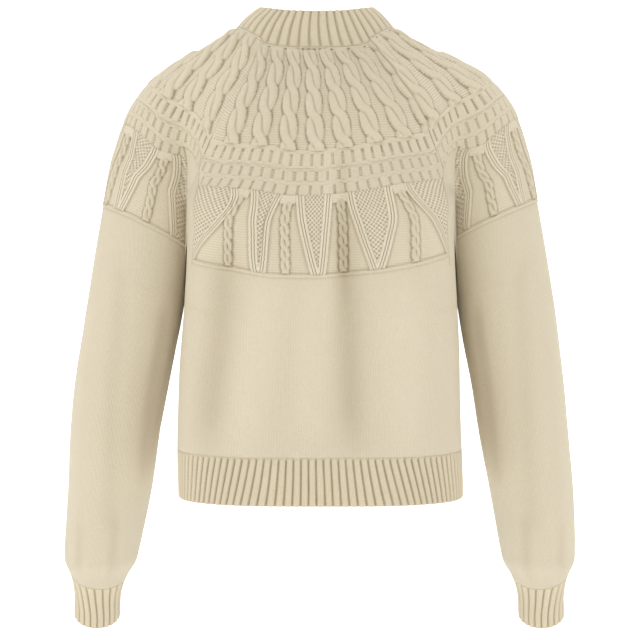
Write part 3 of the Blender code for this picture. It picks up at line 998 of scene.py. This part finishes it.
# Grids of a panel from the neck down: columns, row steps, and how many row steps the inside takes as one.
CABLE_GRID = (210, 118, 8)
TENT_GRID = (420, 144, 8)
LOWER_GRIDS = {"body": (84, 46, 2), "sleeve": (84, 90, 2)}
INNER_COLUMNS = 42

# Painted shade in hollows between neighbours in the grid, the painted shade and highlight of the soft folds,
# and how relief
# is pressed flat: over the shoulder, by share and row, at the seams and the neck, and in the fold under the
# arm.
HOLLOW_REACH = 3
HOLLOW_DEPTH = 1.1
FOLD_PAINTED_SHADE = 0.075
SHOULDER_FLAT = 0.6
SHOULDER_SHARES = (0.42, 0.58, 0.14)
SHOULDER_END = (0.5, 0.1)
SEAM_DIP = 0.1
NECK_DIP = 0.1
SEAM_HALF = 1.1
SEAM_PRESS = 0.75
NECK_RAMP = 0.45
EDGE_CLEAR = (0.8, 1.8)
FOLD_ROOM = 0.45
FOLD_KEEP = 0.15
FOLD_FLOOR = -0.3
FOLD_PRESS = (14, 16)

# Stitches across a panel, in zones of rows.
STITCH_ZONES = (
    ("from_row", "body", "sleeve"),
    (0.0, 96, 84),
    (0.46, 134, 100),
)

# Soft creases of the sleeves, by place along the row and row of both ends. They fade out above the cuff.
CREASES = (
    ("top_share", "top_row", "foot_share", "foot_row", "half_width", "depth"),
    (0.30, 0.95, 0.22, 1.75, 10, -1.6),
    (0.44, 1.10, 0.40, 1.90, 12, 1.4),
    (0.60, 0.90, 0.66, 1.80, 11, -1.4),
    (0.13, 1.05, 0.10, 1.60, 9, -2.2),
    (0.82, 1.15, 0.86, 1.85, 10, 1.6),
    (0.20, 1.72, 0.17, 1.99, 6, -2.4),
    (0.35, 1.76, 0.33, 1.99, 6, -2.0),
    (0.52, 1.74, 0.53, 1.99, 7, -2.4),
    (0.70, 1.77, 0.72, 1.99, 6, -1.8),
    (0.87, 1.73, 0.89, 1.99, 7, -2.2),
)
CREASE_END = 0.10
CREASE_FOOT = 1.99


def creases_at(share, row, length):
    """How far the soft creases move the cloth of a sleeve out."""
    total = np.zeros(share.shape)
    for top_share, top_row, foot_share, foot_row, half_width, depth in CREASES[1:]:
        down = (row - top_row) / (foot_row - top_row)
        across = (share - top_share - (foot_share - top_share) * down) * length
        ends = eased(np.minimum(row - top_row, foot_row - row) / CREASE_END + 0.5)
        total += depth * ends * np.exp(-((across / half_width) ** 2))
    return total * eased((CREASE_FOOT - row) / CREASE_END)


def stitched(first, second):
    """Triangles between two edges that run side by side, with any number of points on each."""
    triangles = []
    near, far = 0, 0
    last_near, last_far = len(first) - 1, len(second) - 1
    while near < last_near or far < last_far:
        near_first = (near + 0.5) * last_far <= (far + 0.5) * last_near
        if far == last_far or (near < last_near and near_first):
            triangles.append((first[near], first[near + 1], second[far]))
            near += 1
        else:
            triangles.append((first[near], second[far + 1], second[far]))
            far += 1
    return [corners for corners in triangles if len(set(corners)) == 3]


def quads_of(numbers, flipped=False):
    """Quads of a grid of point numbers."""
    corners = (numbers[:-1, :-1], numbers[:-1, 1:], numbers[1:, 1:], numbers[1:, :-1])
    quads = np.stack(corners, axis=-1).reshape(-1, 4)
    return quads[:, ::-1] if flipped else quads


def signed_volume(points, triangles):
    first, second, third = (points[triangles[:, corner]] for corner in range(3))
    return np.einsum("ij,ij->", first, np.cross(second, third))


POINT_FIELDS = ("relief", "hollow", "purl", "moss", "border", "line")
MAPS = (("knit", "stitches"), ("moss_dots", "dots"))


def mesh_piece(name, fields, quads, triangles, flat, material):
    """Mesh object that carries its yarn fields; so many of its last quads and triangles are flat."""
    points = fields["points"] * MM
    triangles = np.array(triangles, int).reshape(-1, 3)
    halves = np.concatenate([quads[:, [0, 1, 2]], quads[:, [0, 2, 3]], triangles])
    if signed_volume(points, halves) < 0:
        quads = quads[:, ::-1]
        triangles = triangles[:, ::-1]
    corners = np.concatenate([quads.ravel(), triangles.ravel()]).astype(np.int32)
    starts = np.concatenate([np.arange(len(quads)) * 4, quads.size + np.arange(len(triangles)) * 3])
    mesh = bpy.data.meshes.new(name)
    mesh.vertices.add(len(points))
    mesh.vertices.foreach_set("co", points.astype(np.float32).ravel())
    mesh.loops.add(len(corners))
    mesh.loops.foreach_set("vertex_index", corners)
    mesh.polygons.add(len(starts))
    mesh.polygons.foreach_set("loop_start", starts.astype(np.int32))
    mesh.update(calc_edges=True)
    for map_name, label in MAPS:
        layer = mesh.uv_layers.new(name=map_name)
        layer.data.foreach_set("uv", fields[label][corners].astype(np.float32).ravel())
    for label in POINT_FIELDS:
        attribute = mesh.attributes.new(label, "FLOAT", "POINT")
        attribute.data.foreach_set("value", fields[label].astype(np.float32))
    smooth = np.ones(len(starts), bool)
    smooth[len(quads) - flat[0] : len(quads)] = False
    smooth[len(starts) - flat[1] :] = False
    mesh.polygons.foreach_set("use_smooth", smooth)
    mesh.materials.append(material)
    piece = bpy.data.objects.new(name, mesh)
    bpy.context.scene.collection.objects.link(piece)
    return piece


def stitches_at(share, row, kind, rise):
    """Stitches counted from the middle of the panel, and rows counted from the neck."""
    names, *zones = STITCH_ZONES
    counts = np.array([zone[names.index(kind)] for zone in zones])
    starts = [zone[0] for zone in zones[1:]]
    which = np.searchsorted(starts, row + column_at(rise, share), side="right")
    down = np.interp(row, (0, 1, 2), (0, YOKE_SLANT, YOKE_SLANT + LOWER_LENGTH[kind]))
    return np.stack([(share - 0.5) * counts[which], -down / STITCH_HEIGHT], axis=-1)


def row_lengths(points):
    return np.linalg.norm(np.diff(points, axis=1), axis=2).sum(axis=1)[:, None]


def held_from_fold(height, points, other):
    """Relief flattened where the cloth lies against its neighbour in the fold under the arm."""
    room = np.maximum(other(points) * FOLD_ROOM - FOLD_KEEP, FOLD_FLOOR)
    in_fold = eased((FOLD_TOP + FOLD_PRESS[0] - points[..., 2]) / FOLD_PRESS[1])
    return height + in_fold * (np.minimum(height, room) - height)


# Each panel: its kind, its rows, its form, the form beside it, and -1 where it is the right one mirrored.
PANELS = {
    "back_panel": ("body", partial(body_rows, -1), body_form, sleeve_only, 1),
    "front_panel": ("body", partial(body_rows, 1), body_form, sleeve_only, 1),
    "right_sleeve": ("sleeve", sleeve_rows, sleeve_form, body_only, 1),
    "left_sleeve": ("sleeve", sleeve_rows, sleeve_form, body_only, -1),
}


def pressed_at_seams(relief, from_neck, from_seam):
    """Relief pressed down beside the neck and the raglan seams."""
    at_seam = np.exp(-((from_seam / SEAM_HALF) ** 2))
    at_neck = np.exp(-((from_neck / SEAM_HALF) ** 2))
    kept = (1 - at_neck) * (1 - SEAM_PRESS * at_seam)
    return np.minimum(relief, NECK_RAMP * from_neck) * kept - SEAM_DIP * at_seam - NECK_DIP * at_neck


def outer_layer(name, rows, columns):
    """Grid of one stretch of a panel: plain form, outward directions, lift and the yarn's fields."""
    kind, rows_of, form, other, _ = PANELS[name]
    plain = rows_of(rows, columns)
    share = np.broadcast_to(np.linspace(0, 1, columns + 1), plain.shape[:2])
    row = np.broadcast_to(rows[:, None], plain.shape[:2])
    length = row_lengths(plain)
    from_neck = row * YOKE_SLANT
    from_seam = np.minimum(share, 1 - share) * length
    layer = CHARTS[name].fields(share, row, length)
    if kind == "sleeve":
        above = eased((SHOULDER_END[0] - row) / SHOULDER_END[1])
        layer["relief"] *= 1 - SHOULDER_FLAT * window(share, *SHOULDER_SHARES) * above
    relief = pressed_at_seams(layer["relief"], from_neck, from_seam)
    layer["relief"] = held_from_fold(relief, plain, other)
    layer["fold"] = folds_at(plain) if kind == "body" else creases_at(share, row, length)
    clear = eased((np.minimum(from_neck, from_seam) - EDGE_CLEAR[0]) / EDGE_CLEAR[1])
    # Painted shade: darker in hollows of the relief and in fold troughs, painted highlight on fold ridges.
    layer["hollow"] = hollows(layer["relief"]) * clear - FOLD_PAINTED_SHADE * layer["fold"]
    layer["lift"] = layer["relief"] + layer["fold"]
    layer["plain"] = plain
    layer["normals"] = outward(form, plain)
    layer["stitches"] = stitches_at(share, row, kind, CHARTS[name].rise)
    return layer


def inner_layer(layers, picks):
    """The smooth inside of a panel, a wall's thickness in, at some points of its outer grids."""
    made = {}
    for label in layers[0]:
        made[label] = np.concatenate([layer[label][pick] for layer, pick in zip(layers, picks)])
    made["lift"] = made["fold"] - WALL
    for label in ("relief", "moss", "border", "hollow"):
        made[label] = np.zeros(made["fold"].shape)
    made["purl"] = np.ones(made["fold"].shape)
    return made


def layer_points(layer, mirror):
    return leaned((layer["plain"] + layer["normals"] * layer["lift"][..., None]) * (mirror, 1, 1))


def numbered(layers):
    """Point numbers of several grids, counted on from one to the next."""
    numbers = []
    count = 0
    for layer in layers:
        shape = layer["lift"].shape
        numbers.append(count + np.arange(shape[0] * shape[1]).reshape(shape))
        count += shape[0] * shape[1]
    return numbers


def panel_layers(name):
    """Outer grids of a panel from the neck down, then the grid of its inside."""
    kind = PANELS[name][0]
    edge = SEAM_GAP / 2 / YOKE_SLANT
    stretches = (
        (np.linspace(edge, CABLE_ZONE_END, CABLE_GRID[1] + 1), CABLE_GRID),
        (np.linspace(CABLE_ZONE_END, YOKE_END, TENT_GRID[1] + 2)[1:], TENT_GRID),
        (np.linspace(YOKE_END, 2 - edge, LOWER_GRIDS[kind][1] + 2)[1:], LOWER_GRIDS[kind]),
    )
    layers = []
    picks = []
    for rows, (columns, _, skip) in stretches:
        layers.append(outer_layer(name, rows, columns))
        picks.append((slice(None, None, skip), slice(None, None, columns // INNER_COLUMNS)))
    return [*layers, inner_layer(layers, picks)]


def panel(name, material):
    """Shell of a back, front or sleeve: fine relief on the yoke, plain cloth below, smooth inside."""
    mirror = PANELS[name][-1]
    layers = panel_layers(name)
    *outer, inside = numbered(layers)
    joins = stitched(outer[0][-1], outer[1][0]) + stitched(outer[1][-1], outer[2][0])
    edges = stitched(inside[0], outer[0][0]) + stitched(outer[-1][-1], inside[-1])
    edges += stitched(np.concatenate([grid[:, 0] for grid in outer]), inside[:, 0])
    edges += stitched(inside[:, -1], np.concatenate([grid[:, -1] for grid in outer]))
    quads = np.concatenate([*map(quads_of, outer), quads_of(inside, flipped=True)])
    fields = {"points": np.concatenate([layer_points(layer, mirror).reshape(-1, 3) for layer in layers])}
    for label in POINT_FIELDS:
        fields[label] = np.concatenate([layer[label].ravel() for layer in layers])
    for label in ("stitches", "dots"):
        fields[label] = np.concatenate([layer[label].reshape(-1, 2) for layer in layers])
    return mesh_piece(name, fields, quads, joins + edges, (0, len(edges)), material)


# ---------------------------------------------------------------- ribbed bands

# Shape of the ribs of every band. BANDS gives the number of ribs, columns of points in each, depth and
# half-width of the grooves, how dark their painted shade is, rows of points down the outside, and the band's
# length.
RIB_WALL = 3.6
RIB_SHARE = 0.66
RIB_STEEP = 0.10
RIB_ROUND = 0.18
INNER_GROOVE = 0.45
RIB_TOP_RELIEF = 0.4
RIB_START = 3.0
RIB_WALES = 3
RIB_KNIT = 1.3
BAND_FACTS = ("ribs", "each", "depth", "slit", "groove_shade", "rows", "length")
BANDS = {
    "neckband": (50, 16, 2.0, 0.15, 0.35, 16, 46),
    "back_hem_rib": (57, 12, 1.7, 0.115, 1.0, 18, 50),
    "front_hem_rib": (57, 12, 1.7, 0.115, 1.0, 18, 50),
    "right_cuff": (21, 14, 1.5, 0.1, 1.0, 20, 57),
    "left_cuff": (21, 14, 1.5, 0.1, 1.0, 20, 57),
}
LIP_STEPS = 5
INNER_BAND_ROWS = 6
HEM_LEAN = (0.21, 0.12, 1.5)
NECK_COLUMNS = 80
NECK_TURN = 0.35


def rib_profile(phase):
    """1 on top of a rib, 0 in the groove between two ribs."""
    off = np.abs(phase % 1 - 0.5)
    top = eased((RIB_SHARE / 2 + RIB_STEEP - off) / RIB_STEEP)
    return top * (1 - RIB_ROUND * (2 * off / RIB_SHARE) ** 2)


def hem_lean(share):
    """How far the ribs of the hem lean outward down the band, in ribs."""
    place, half, most = HEM_LEAN
    off = share - 0.5
    return -np.sign(off) * most * np.exp(-(((np.abs(off) - place) / half) ** 2))


def capped(profile, outer_count):
    """Triangles of an end of a band, between its outer and inner sides."""
    return stitched(profile[:outer_count], profile[outer_count - 1 :][::-1])


def band_profile(facts, reach):
    """Rows of a band's profile, down the outside, round the lip and up the inside, with their angles."""
    seam = SEAM_GAP / 2 / facts["length"]
    turns = np.linspace(0, math.pi, LIP_STEPS + 2)[1:-1]
    outer = np.linspace(seam, 1 - reach, facts["rows"])
    inner = np.linspace(1 - reach, seam, INNER_BAND_ROWS)
    centre = np.concatenate([outer, np.full(LIP_STEPS, 1 - reach), inner])
    around = np.concatenate([np.zeros(len(outer)), turns, np.full(len(inner), math.pi)])
    return centre, around[:, None]


def band_faces(shape, outer_count, closed):
    """Point numbers of a band's profile, swept along the row, and the triangles that close its open ends."""
    numbers = np.arange(shape[0] * shape[1]).reshape(shape)
    triangles = []
    if not closed:
        triangles += capped(numbers[:, 0], outer_count)
        triangles += [corners[::-1] for corners in capped(numbers[:, -1], outer_count)]
    numbers = np.concatenate([numbers, numbers[:1]])
    if closed:
        numbers = np.concatenate([numbers, numbers[:, :1]], axis=1)
    return numbers, triangles


def band(name, base, closed, material, lean=None):
    """Ribbed band from its seam to a rounded free edge, as a closed profile swept along the row."""
    facts = dict(zip(BAND_FACTS, BANDS[name]))
    columns = facts["ribs"] * facts["each"]
    half = RIB_WALL / 2
    reach = half / facts["length"]
    centre, around = band_profile(facts, reach)
    points, normals = base(centre, columns)
    ahead = base(centre + reach / 2, columns)[0] - points
    ahead /= np.linalg.norm(ahead, axis=-1, keepdims=True)
    down = centre[:, None] + reach * np.sin(around)
    share = np.arange(points.shape[1]) / columns
    phase = share * facts["ribs"] + down * (lean(share) if lean else 0)
    rib = rib_profile(phase)
    outside = 0.5 + 0.5 * np.cos(around)
    started = eased(down * facts["length"] / RIB_START)
    groove = (1 - rib) * outside * started + rib * (1 - outside) * INNER_GROOVE
    away = normals * np.cos(around)[..., None] + ahead * np.sin(around)[..., None]
    shown = points - normals * half + away * (half - facts["depth"] * groove)[..., None]
    numbers, triangles = band_faces(shown.shape[:2], facts["rows"] + LIP_STEPS // 2 + 1, closed)
    wales = phase * RIB_WALES + 0.5
    stitches = np.stack([wales, -down * facts["length"] / STITCH_HEIGHT + 0 * phase], axis=-1)
    fields = {label: np.zeros(groove.size) for label in POINT_FIELDS}
    fields["points"] = leaned(shown).reshape(-1, 3)
    fields["stitches"] = fields["dots"] = stitches.reshape(-1, 2)
    # The relief field here only steers painted light and shade: rib tops fully lit, grooves darker.
    fields["relief"] = RIB_TOP_RELIEF - facts["depth"] * groove.ravel()
    off_groove = 0.5 - np.abs(phase % 1 - 0.5)
    # Painted shade: a thin dark line down the middle of each rib groove.
    fields["hollow"] = (facts["groove_shade"] * started * np.exp(-((off_groove / facts["slit"]) ** 2))).ravel()
    fields["purl"] = 1 - np.clip(rib * RIB_KNIT, 0, 1).ravel()
    flat = (numbers.shape[1] - 1, len(triangles))
    return mesh_piece(name, fields, quads_of(numbers), triangles, flat, material)


def hem_base(face):
    def base(down, columns):
        points = body_rows(face, 2 + down, columns)
        normals = outward(body_form, points)
        return points + normals * folds_at(points)[..., None], normals

    return base


def cuff_base(mirror):
    def base(down, columns):
        points = sleeve_rows(2 + down, columns, gap=0)[:, :-1]
        return points * (mirror, 1, 1), outward(sleeve_form, points) * (mirror, 1, 1)

    return base


def neck_seam(columns):
    """Closed ring of the neck seam, evenly spaced: back, left sleeve, front and right sleeve."""
    row = np.zeros(1)
    right = sleeve_rows(row, NECK_COLUMNS)[0]
    back, front = (body_rows(face, row, NECK_COLUMNS)[0] for face in (-1, 1))
    parts = (back, right * (-1, 1, 1), front[::-1], right[::-1])
    ring = np.concatenate([part[:-1] for part in parts])
    ring = np.concatenate([ring, ring[:1]])
    return point_along(ring, np.linspace(0, 1, columns + 1)[:-1])


def neck_base(down, columns):
    """Neckband from the neck seam up to its oval rim, with outward directions."""
    seam = neck_seam(columns)
    across = seam[:, 0] / np.abs(seam[:, 0]).max()
    ahead = seam[:, 1] / np.where(seam[:, 1] < 0, -seam[:, 1].min(), seam[:, 1].max())
    spoke = np.hypot(across, ahead)
    across, ahead = across / spoke, ahead / spoke
    depth = np.where(ahead < 0, RIM_BACK, RIM_FRONT)
    drop = np.where(ahead < 0, RIM_BACK_DROP, RIM_FRONT_DROP)
    rim = np.column_stack([RIM_HALF_WIDTH * across, depth * ahead, RIM_SIDE_HEIGHT - drop * ahead**2])
    up = rim - seam
    grid = seam + up * down[:, None, None]
    along = np.roll(grid, -1, axis=1) - np.roll(grid, 1, axis=1)
    normals = np.cross(along, up)
    normals *= np.sign((normals[..., :2] * grid[..., :2]).sum(axis=-1, keepdims=True))
    normals /= np.linalg.norm(normals, axis=-1, keepdims=True)
    lower = outward(body_form, seam)
    share = eased(down / NECK_TURN)[:, None, None]
    normals = lower * (1 - share) + normals * share
    normals /= np.linalg.norm(normals, axis=-1, keepdims=True)
    return grid + normals * (np.sin(math.pi * down) * BAND_BULGE)[:, None, None], normals


# ---------------------------------------------------------------- yarn

# Linear colours: the cream of the cloth, the painted shade colour of its deep grooves, and a paler and a
# darker fleck.
CREAM = (0.72, 0.64, 0.482, 1)
PAINTED_GROOVE_SHADE = (0.33, 0.257, 0.148, 1)
PALE_FLECK = (0.80, 0.735, 0.58, 1)
DARK_FLECK = (0.65, 0.55, 0.375, 1)
RELIEF_SHADE_REACH = (-2.2, 0.4)
LEG_SLANT = 0.9

# Depth of the yarn's own relief in millimetres, and the share of painted light on it, as gain and start. A
# reach is the low and high end of a smooth step.
KNIT_DEPTH = 0.3
PURL_BAR_DEPTH = 0.6
MOSS_DEPTH = 1.0
LINE_DEPTH = 1.2
KNIT_LIGHT = (0.25, 0.75)
PURL_LIGHT = (0.85, 0.62)
MOSS_LIGHT = (0.5, 0.54)
LINE_LIGHT = (0.76, 0.2)
DOT_REACH = (-0.8, 0.1)
LINE_REACH = (0.0, 0.6)
RELIEF_LIGHT = (0.45, 0.55)
PAINTED_SHADE_GAIN = (-0.82, 1.0)
RUNG_STRETCH = 0.85
RUNG_WAVE = 0.18

# Noises of the wool, as scale and detail, and their reach.
FUZZ_DEPTH = 0.00025
FUZZ_NOISE = (1500, 3.0)
CLOUD_NOISE = (35, 2.0)
CLOUD_REACH = (0.3, 0.7)
FLECK_NOISE = (420, 4.0)
FLECK_REACH = (0.35, 0.65)
FLECK_SHARE = (0.16, 0.08)
WOOL = {
    "Roughness": 0.93,
    "Specular IOR Level": 0.2,
    "Sheen Weight": 0.25,
    "Sheen Roughness": 0.5,
    "Sheen Tint": (1.0, 0.96, 0.88, 1),
}


class Graph:
    """Short calls for wiring the nodes of one material."""

    def __init__(self, name):
        self.material = bpy.data.materials.new(name)
        self.material.use_nodes = True
        self.tree = self.material.node_tree
        self.shader = self.tree.nodes["Principled BSDF"]

    def node(self, kind, **settings):
        made = self.tree.nodes.new(kind)
        for label, value in settings.items():
            setattr(made, label, value)
        return made

    def feed(self, value, socket):
        if hasattr(value, "is_output"):
            self.tree.links.new(value, socket)
        else:
            socket.default_value = value

    def math(self, operation, *values):
        made = self.node("ShaderNodeMath", operation=operation)
        for value, socket in zip(values, made.inputs):
            self.feed(value, socket)
        return made.outputs[0]

    def between(self, value, low, high):
        """0 at low, 1 at high, clamped."""
        made = self.node("ShaderNodeMapRange", interpolation_type="SMOOTHSTEP")
        for place, number in enumerate((value, low, high, 0.0, 1.0)):
            self.feed(number, made.inputs[place])
        return made.outputs[0]

    def mixed(self, share, first, second, kind="MIX"):
        """Colours mixed: first where share is 0, second where it is 1."""
        made = self.node("ShaderNodeMix", data_type="RGBA", blend_type=kind)
        for place, value in ((0, share), (6, first), (7, second)):
            self.feed(value, made.inputs[place])
        return made.outputs[2]

    def blend(self, share, first, second):
        """Numbers mixed: first where share is 0, second where it is 1."""
        made = self.node("ShaderNodeMix", data_type="FLOAT")
        for place, value in ((0, share), (2, first), (3, second)):
            self.feed(value, made.inputs[place])
        return made.outputs[0]

    def noise(self, scale, detail):
        place = self.node("ShaderNodeTexCoord").outputs["Object"]
        made = self.node("ShaderNodeTexNoise")
        for label, value in (("Vector", place), ("Scale", scale), ("Detail", detail)):
            self.feed(value, made.inputs[label])
        return made.outputs["Fac"]

    def attribute(self, name):
        return self.node("ShaderNodeAttribute", attribute_name=name).outputs["Fac"]

    def coordinates(self, map_name):
        parts = self.node("ShaderNodeSeparateXYZ")
        self.feed(self.node("ShaderNodeUVMap", uv_map=map_name).outputs[0], parts.inputs[0])
        return parts.outputs[0], parts.outputs[1]

    def arch(self, phase):
        """Round arch over a phase from 0 to 1: nothing at both ends, 1 in the middle."""
        centred = self.math("MULTIPLY_ADD", phase, 2.0, -1.0)
        return self.math("SUBTRACT", 1.0, self.math("MULTIPLY", centred, centred))

    def waves(self, place):
        """Cosine with one wave to each whole number."""
        return self.math("COSINE", self.math("MULTIPLY", place, 2 * math.pi))


def yarn_height(graph):
    """Knit legs, purl bars, moss dots and border lines: height in millimetres, and share of painted light.
    """
    across, along = graph.coordinates("knit")
    off = graph.math("ABSOLUTE", graph.math("SUBTRACT", graph.math("FRACT", across), 0.5))
    leg = graph.math("FRACT", graph.math("MULTIPLY_ADD", off, -LEG_SLANT, along))
    leg_arch = graph.math("SQRT", graph.math("MAXIMUM", graph.arch(leg), 0.0))
    wale = graph.arch(graph.math("MULTIPLY", off, 2.0))
    knit = graph.math("MULTIPLY", graph.math("MULTIPLY_ADD", leg_arch, 0.5, 0.5), wale)
    stretched = graph.math("MULTIPLY", along, RUNG_STRETCH)
    rung = graph.math("MULTIPLY_ADD", graph.waves(across), RUNG_WAVE, stretched)
    bar = graph.arch(graph.math("FRACT", rung))
    dot_across, dot_along = (graph.waves(place) for place in graph.coordinates("moss_dots"))
    dot = graph.between(graph.math("MULTIPLY", dot_across, dot_along), *DOT_REACH)
    line = graph.between(graph.arch(graph.math("FRACT", graph.attribute("line"))), *LINE_REACH)
    height = graph.math("MULTIPLY", knit, KNIT_DEPTH)
    light = graph.math("MULTIPLY_ADD", knit, *KNIT_LIGHT)
    layers = (
        ("purl", bar, PURL_BAR_DEPTH, PURL_LIGHT),
        ("moss", dot, MOSS_DEPTH, MOSS_LIGHT),
        ("border", line, LINE_DEPTH, LINE_LIGHT),
    )
    for name, shape, depth, share in layers:
        cover = graph.attribute(name)
        height = graph.blend(cover, height, graph.math("MULTIPLY", shape, depth))
        light = graph.blend(cover, light, graph.math("MULTIPLY_ADD", shape, *share))
    return height, light


def yarn(name, painted_tone):
    """Matt cream wool: stitches and fuzz as bump, painted shade in grooves and hollows, flecked and softly
    clouded.
    """
    graph = Graph(name)
    stitches, stitch_light = yarn_height(graph)
    fuzz = graph.noise(*FUZZ_NOISE)
    fleck = graph.between(graph.noise(*FLECK_NOISE), *FLECK_REACH)
    cloud = graph.between(graph.noise(*CLOUD_NOISE), *CLOUD_REACH)
    raised = graph.between(graph.attribute("relief"), *RELIEF_SHADE_REACH)
    hollow_light = graph.math("MULTIPLY_ADD", graph.attribute("hollow"), *PAINTED_SHADE_GAIN)
    # Painted light and shade: lighter on raised relief and stitch tops, darker in low relief, hollows and
    # fold troughs, mixed towards the painted groove shade colour.
    lit = graph.math("MULTIPLY", graph.math("MULTIPLY_ADD", raised, *RELIEF_LIGHT), stitch_light)
    lit = graph.math("MULTIPLY", lit, hollow_light)
    flecked = graph.mixed(fleck, DARK_FLECK, PALE_FLECK)
    cloth = graph.mixed(graph.math("MULTIPLY_ADD", cloud, *FLECK_SHARE), CREAM, flecked)
    # The painted tone lightens or darkens this copy of the yarn as painted light and shade.
    colour = graph.mixed(1.0, graph.mixed(lit, PAINTED_GROOVE_SHADE, cloth), painted_tone, "MULTIPLY")
    graph.feed(colour, graph.shader.inputs["Base Color"])
    for label, value in WOOL.items():
        graph.feed(value, graph.shader.inputs[label])
    fine = graph.node("ShaderNodeBump")
    graph.feed(FUZZ_DEPTH, fine.inputs["Distance"])
    graph.feed(fuzz, fine.inputs["Height"])
    bump = graph.node("ShaderNodeBump")
    graph.feed(MM, bump.inputs["Distance"])
    graph.feed(stitches, bump.inputs["Height"])
    graph.feed(fine.outputs[0], bump.inputs["Normal"])
    graph.feed(bump.outputs[0], graph.shader.inputs["Normal"])
    return graph.material


# ---------------------------------------------------------------- stage, light and camera

FLOOR_HEIGHT = -2.8
FLOOR_FRONT = -8.0
WALL_Y = 8.0
CURVE_RADIUS = 2.0
CURVE_STEPS = 12
STAGE_HALF_WIDTH = 12.0
WALL_TOP = 9.0
PHOTO_SIZE = (633, 640)
PIXEL = 0.0011
NECK_PIXEL = (318, 30)
CAMERA_DISTANCE = 3.0
CAMERA_HEIGHT = -0.10
SENSOR = 36.0
LIGHTS = (
    ("name", "place", "aim", "size", "power"),
    ("key_light", (1.2, -2.3, 1.8), (0, 0, -0.25), 1.1, 12),
    ("fill_light", (-1.6, -2.3, 1.0), (0, 0, -0.2), 1.6, 13),
    ("right_light", (2.4, -0.5, 0.3), (0, 0, -0.3), 1.2, 11),
    ("left_light", (-2.4, -0.5, 0.3), (0, 0, -0.3), 1.2, 13),
    ("low_light", (0.0, -3.2, -0.2), (0, 0, -0.3), 1.0, 3),
    ("top_light", (0.0, -0.4, 2.6), (0, 0, 0), 2.2, 24),
    ("front_light", (0.6, 2.8, 0.8), (0, 0, -0.3), 2.0, 12),
)
SKY_LIGHT = 0.56
STAGE = {
    "Base Color": (0.93, 0.93, 0.93, 1),
    "Roughness": 0.8,
    "Emission Color": (1.0, 1.0, 1.0, 1),
    "Emission Strength": 0.62,
}


def stage_material():
    graph = Graph("pale_stage")
    for label, value in STAGE.items():
        graph.feed(value, graph.shader.inputs[label])
    return graph.material


def backdrop():
    """Pale floor that curves up into a wall."""
    profile = [(FLOOR_FRONT, FLOOR_HEIGHT)]
    for angle in np.linspace(0, math.pi / 2, CURVE_STEPS + 1):
        y = WALL_Y - CURVE_RADIUS + CURVE_RADIUS * math.sin(angle)
        profile.append((y, FLOOR_HEIGHT + CURVE_RADIUS * (1 - math.cos(angle))))
    profile.append((WALL_Y, WALL_TOP))
    points = [(side * STAGE_HALF_WIDTH, y, z) for y, z in profile for side in (-1, 1)]
    faces = [(2 * i, 2 * i + 1, 2 * i + 3, 2 * i + 2) for i in range(len(profile) - 1)]
    mesh = bpy.data.meshes.new("backdrop")
    mesh.from_pydata(points, [], faces)
    mesh.shade_smooth()
    mesh.materials.append(stage_material())
    piece = bpy.data.objects.new("backdrop", mesh)
    bpy.context.scene.collection.objects.link(piece)


def aimed(thing, target):
    """Turns a light or camera towards a point."""
    direction = Vector(target) - thing.location
    thing.rotation_euler = direction.to_track_quat("-Z", "Y").to_euler()


def lights():
    for name, place, target, size, power in LIGHTS[1:]:
        data = bpy.data.lights.new(name, "AREA")
        data.size = size
        data.energy = power
        lamp = bpy.data.objects.new(name, data)
        lamp.location = place
        aimed(lamp, target)
        bpy.context.scene.collection.objects.link(lamp)
    world = bpy.data.worlds.new("pale_room")
    world.use_nodes = True
    background = world.node_tree.nodes["Background"]
    background.inputs["Color"].default_value = (1.0, 1.0, 1.0, 1)
    background.inputs["Strength"].default_value = SKY_LIGHT
    bpy.context.scene.world = world
    bpy.context.scene.view_settings.view_transform = "Standard"


def camera():
    """Camera whose picture shows 1.1 mm of the garment's middle plane in each pixel."""
    data = bpy.data.cameras.new("photo_camera")
    data.sensor_width = SENSOR
    data.lens = SENSOR * CAMERA_DISTANCE / (max(PHOTO_SIZE) * PIXEL)
    view = bpy.data.objects.new("photo_camera", data)
    across = (PHOTO_SIZE[0] / 2 - NECK_PIXEL[0]) * PIXEL
    down = (PHOTO_SIZE[1] / 2 - NECK_PIXEL[1]) * PIXEL
    view.location = (0, -CAMERA_DISTANCE, CAMERA_HEIGHT)
    aimed(view, (across, 0, -down))
    bpy.context.scene.collection.objects.link(view)
    bpy.context.scene.camera = view


# ---------------------------------------------------------------- the garment

# Tints of three copies of the one yarn, as painted light and shade: the hem and cuff ribs lighter and a
# little warmer, the neckband darker.
BODY_SHADE = (1.0, 1.0, 1.0, 1)
RIB_TINT_AND_PAINTED_LIGHT = (1.03, 1.01, 0.965, 1)
NECK_PAINTED_SHADE = (0.935, 0.925, 0.90, 1)


def main():
    body_yarn = yarn("body_yarn", BODY_SHADE)
    rib_yarn = yarn("rib_yarn", RIB_TINT_AND_PAINTED_LIGHT)
    neck_yarn = yarn("neck_yarn", NECK_PAINTED_SHADE)
    pieces = {name: panel(name, body_yarn) for name in PANELS}
    pieces["neckband"] = band("neckband", neck_base, True, neck_yarn)
    pieces["back_hem_rib"] = band("back_hem_rib", hem_base(-1), False, rib_yarn, hem_lean)
    pieces["front_hem_rib"] = band("front_hem_rib", hem_base(1), False, rib_yarn, hem_lean)
    pieces["right_cuff"] = band("right_cuff", cuff_base(1), True, rib_yarn)
    pieces["left_cuff"] = band("left_cuff", cuff_base(-1), True, rib_yarn)
    for name, piece in pieces.items():
        piece.name = name + "_knit"
        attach(piece, "root")
        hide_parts(name)
    backdrop()
    lights()
    camera()


main()
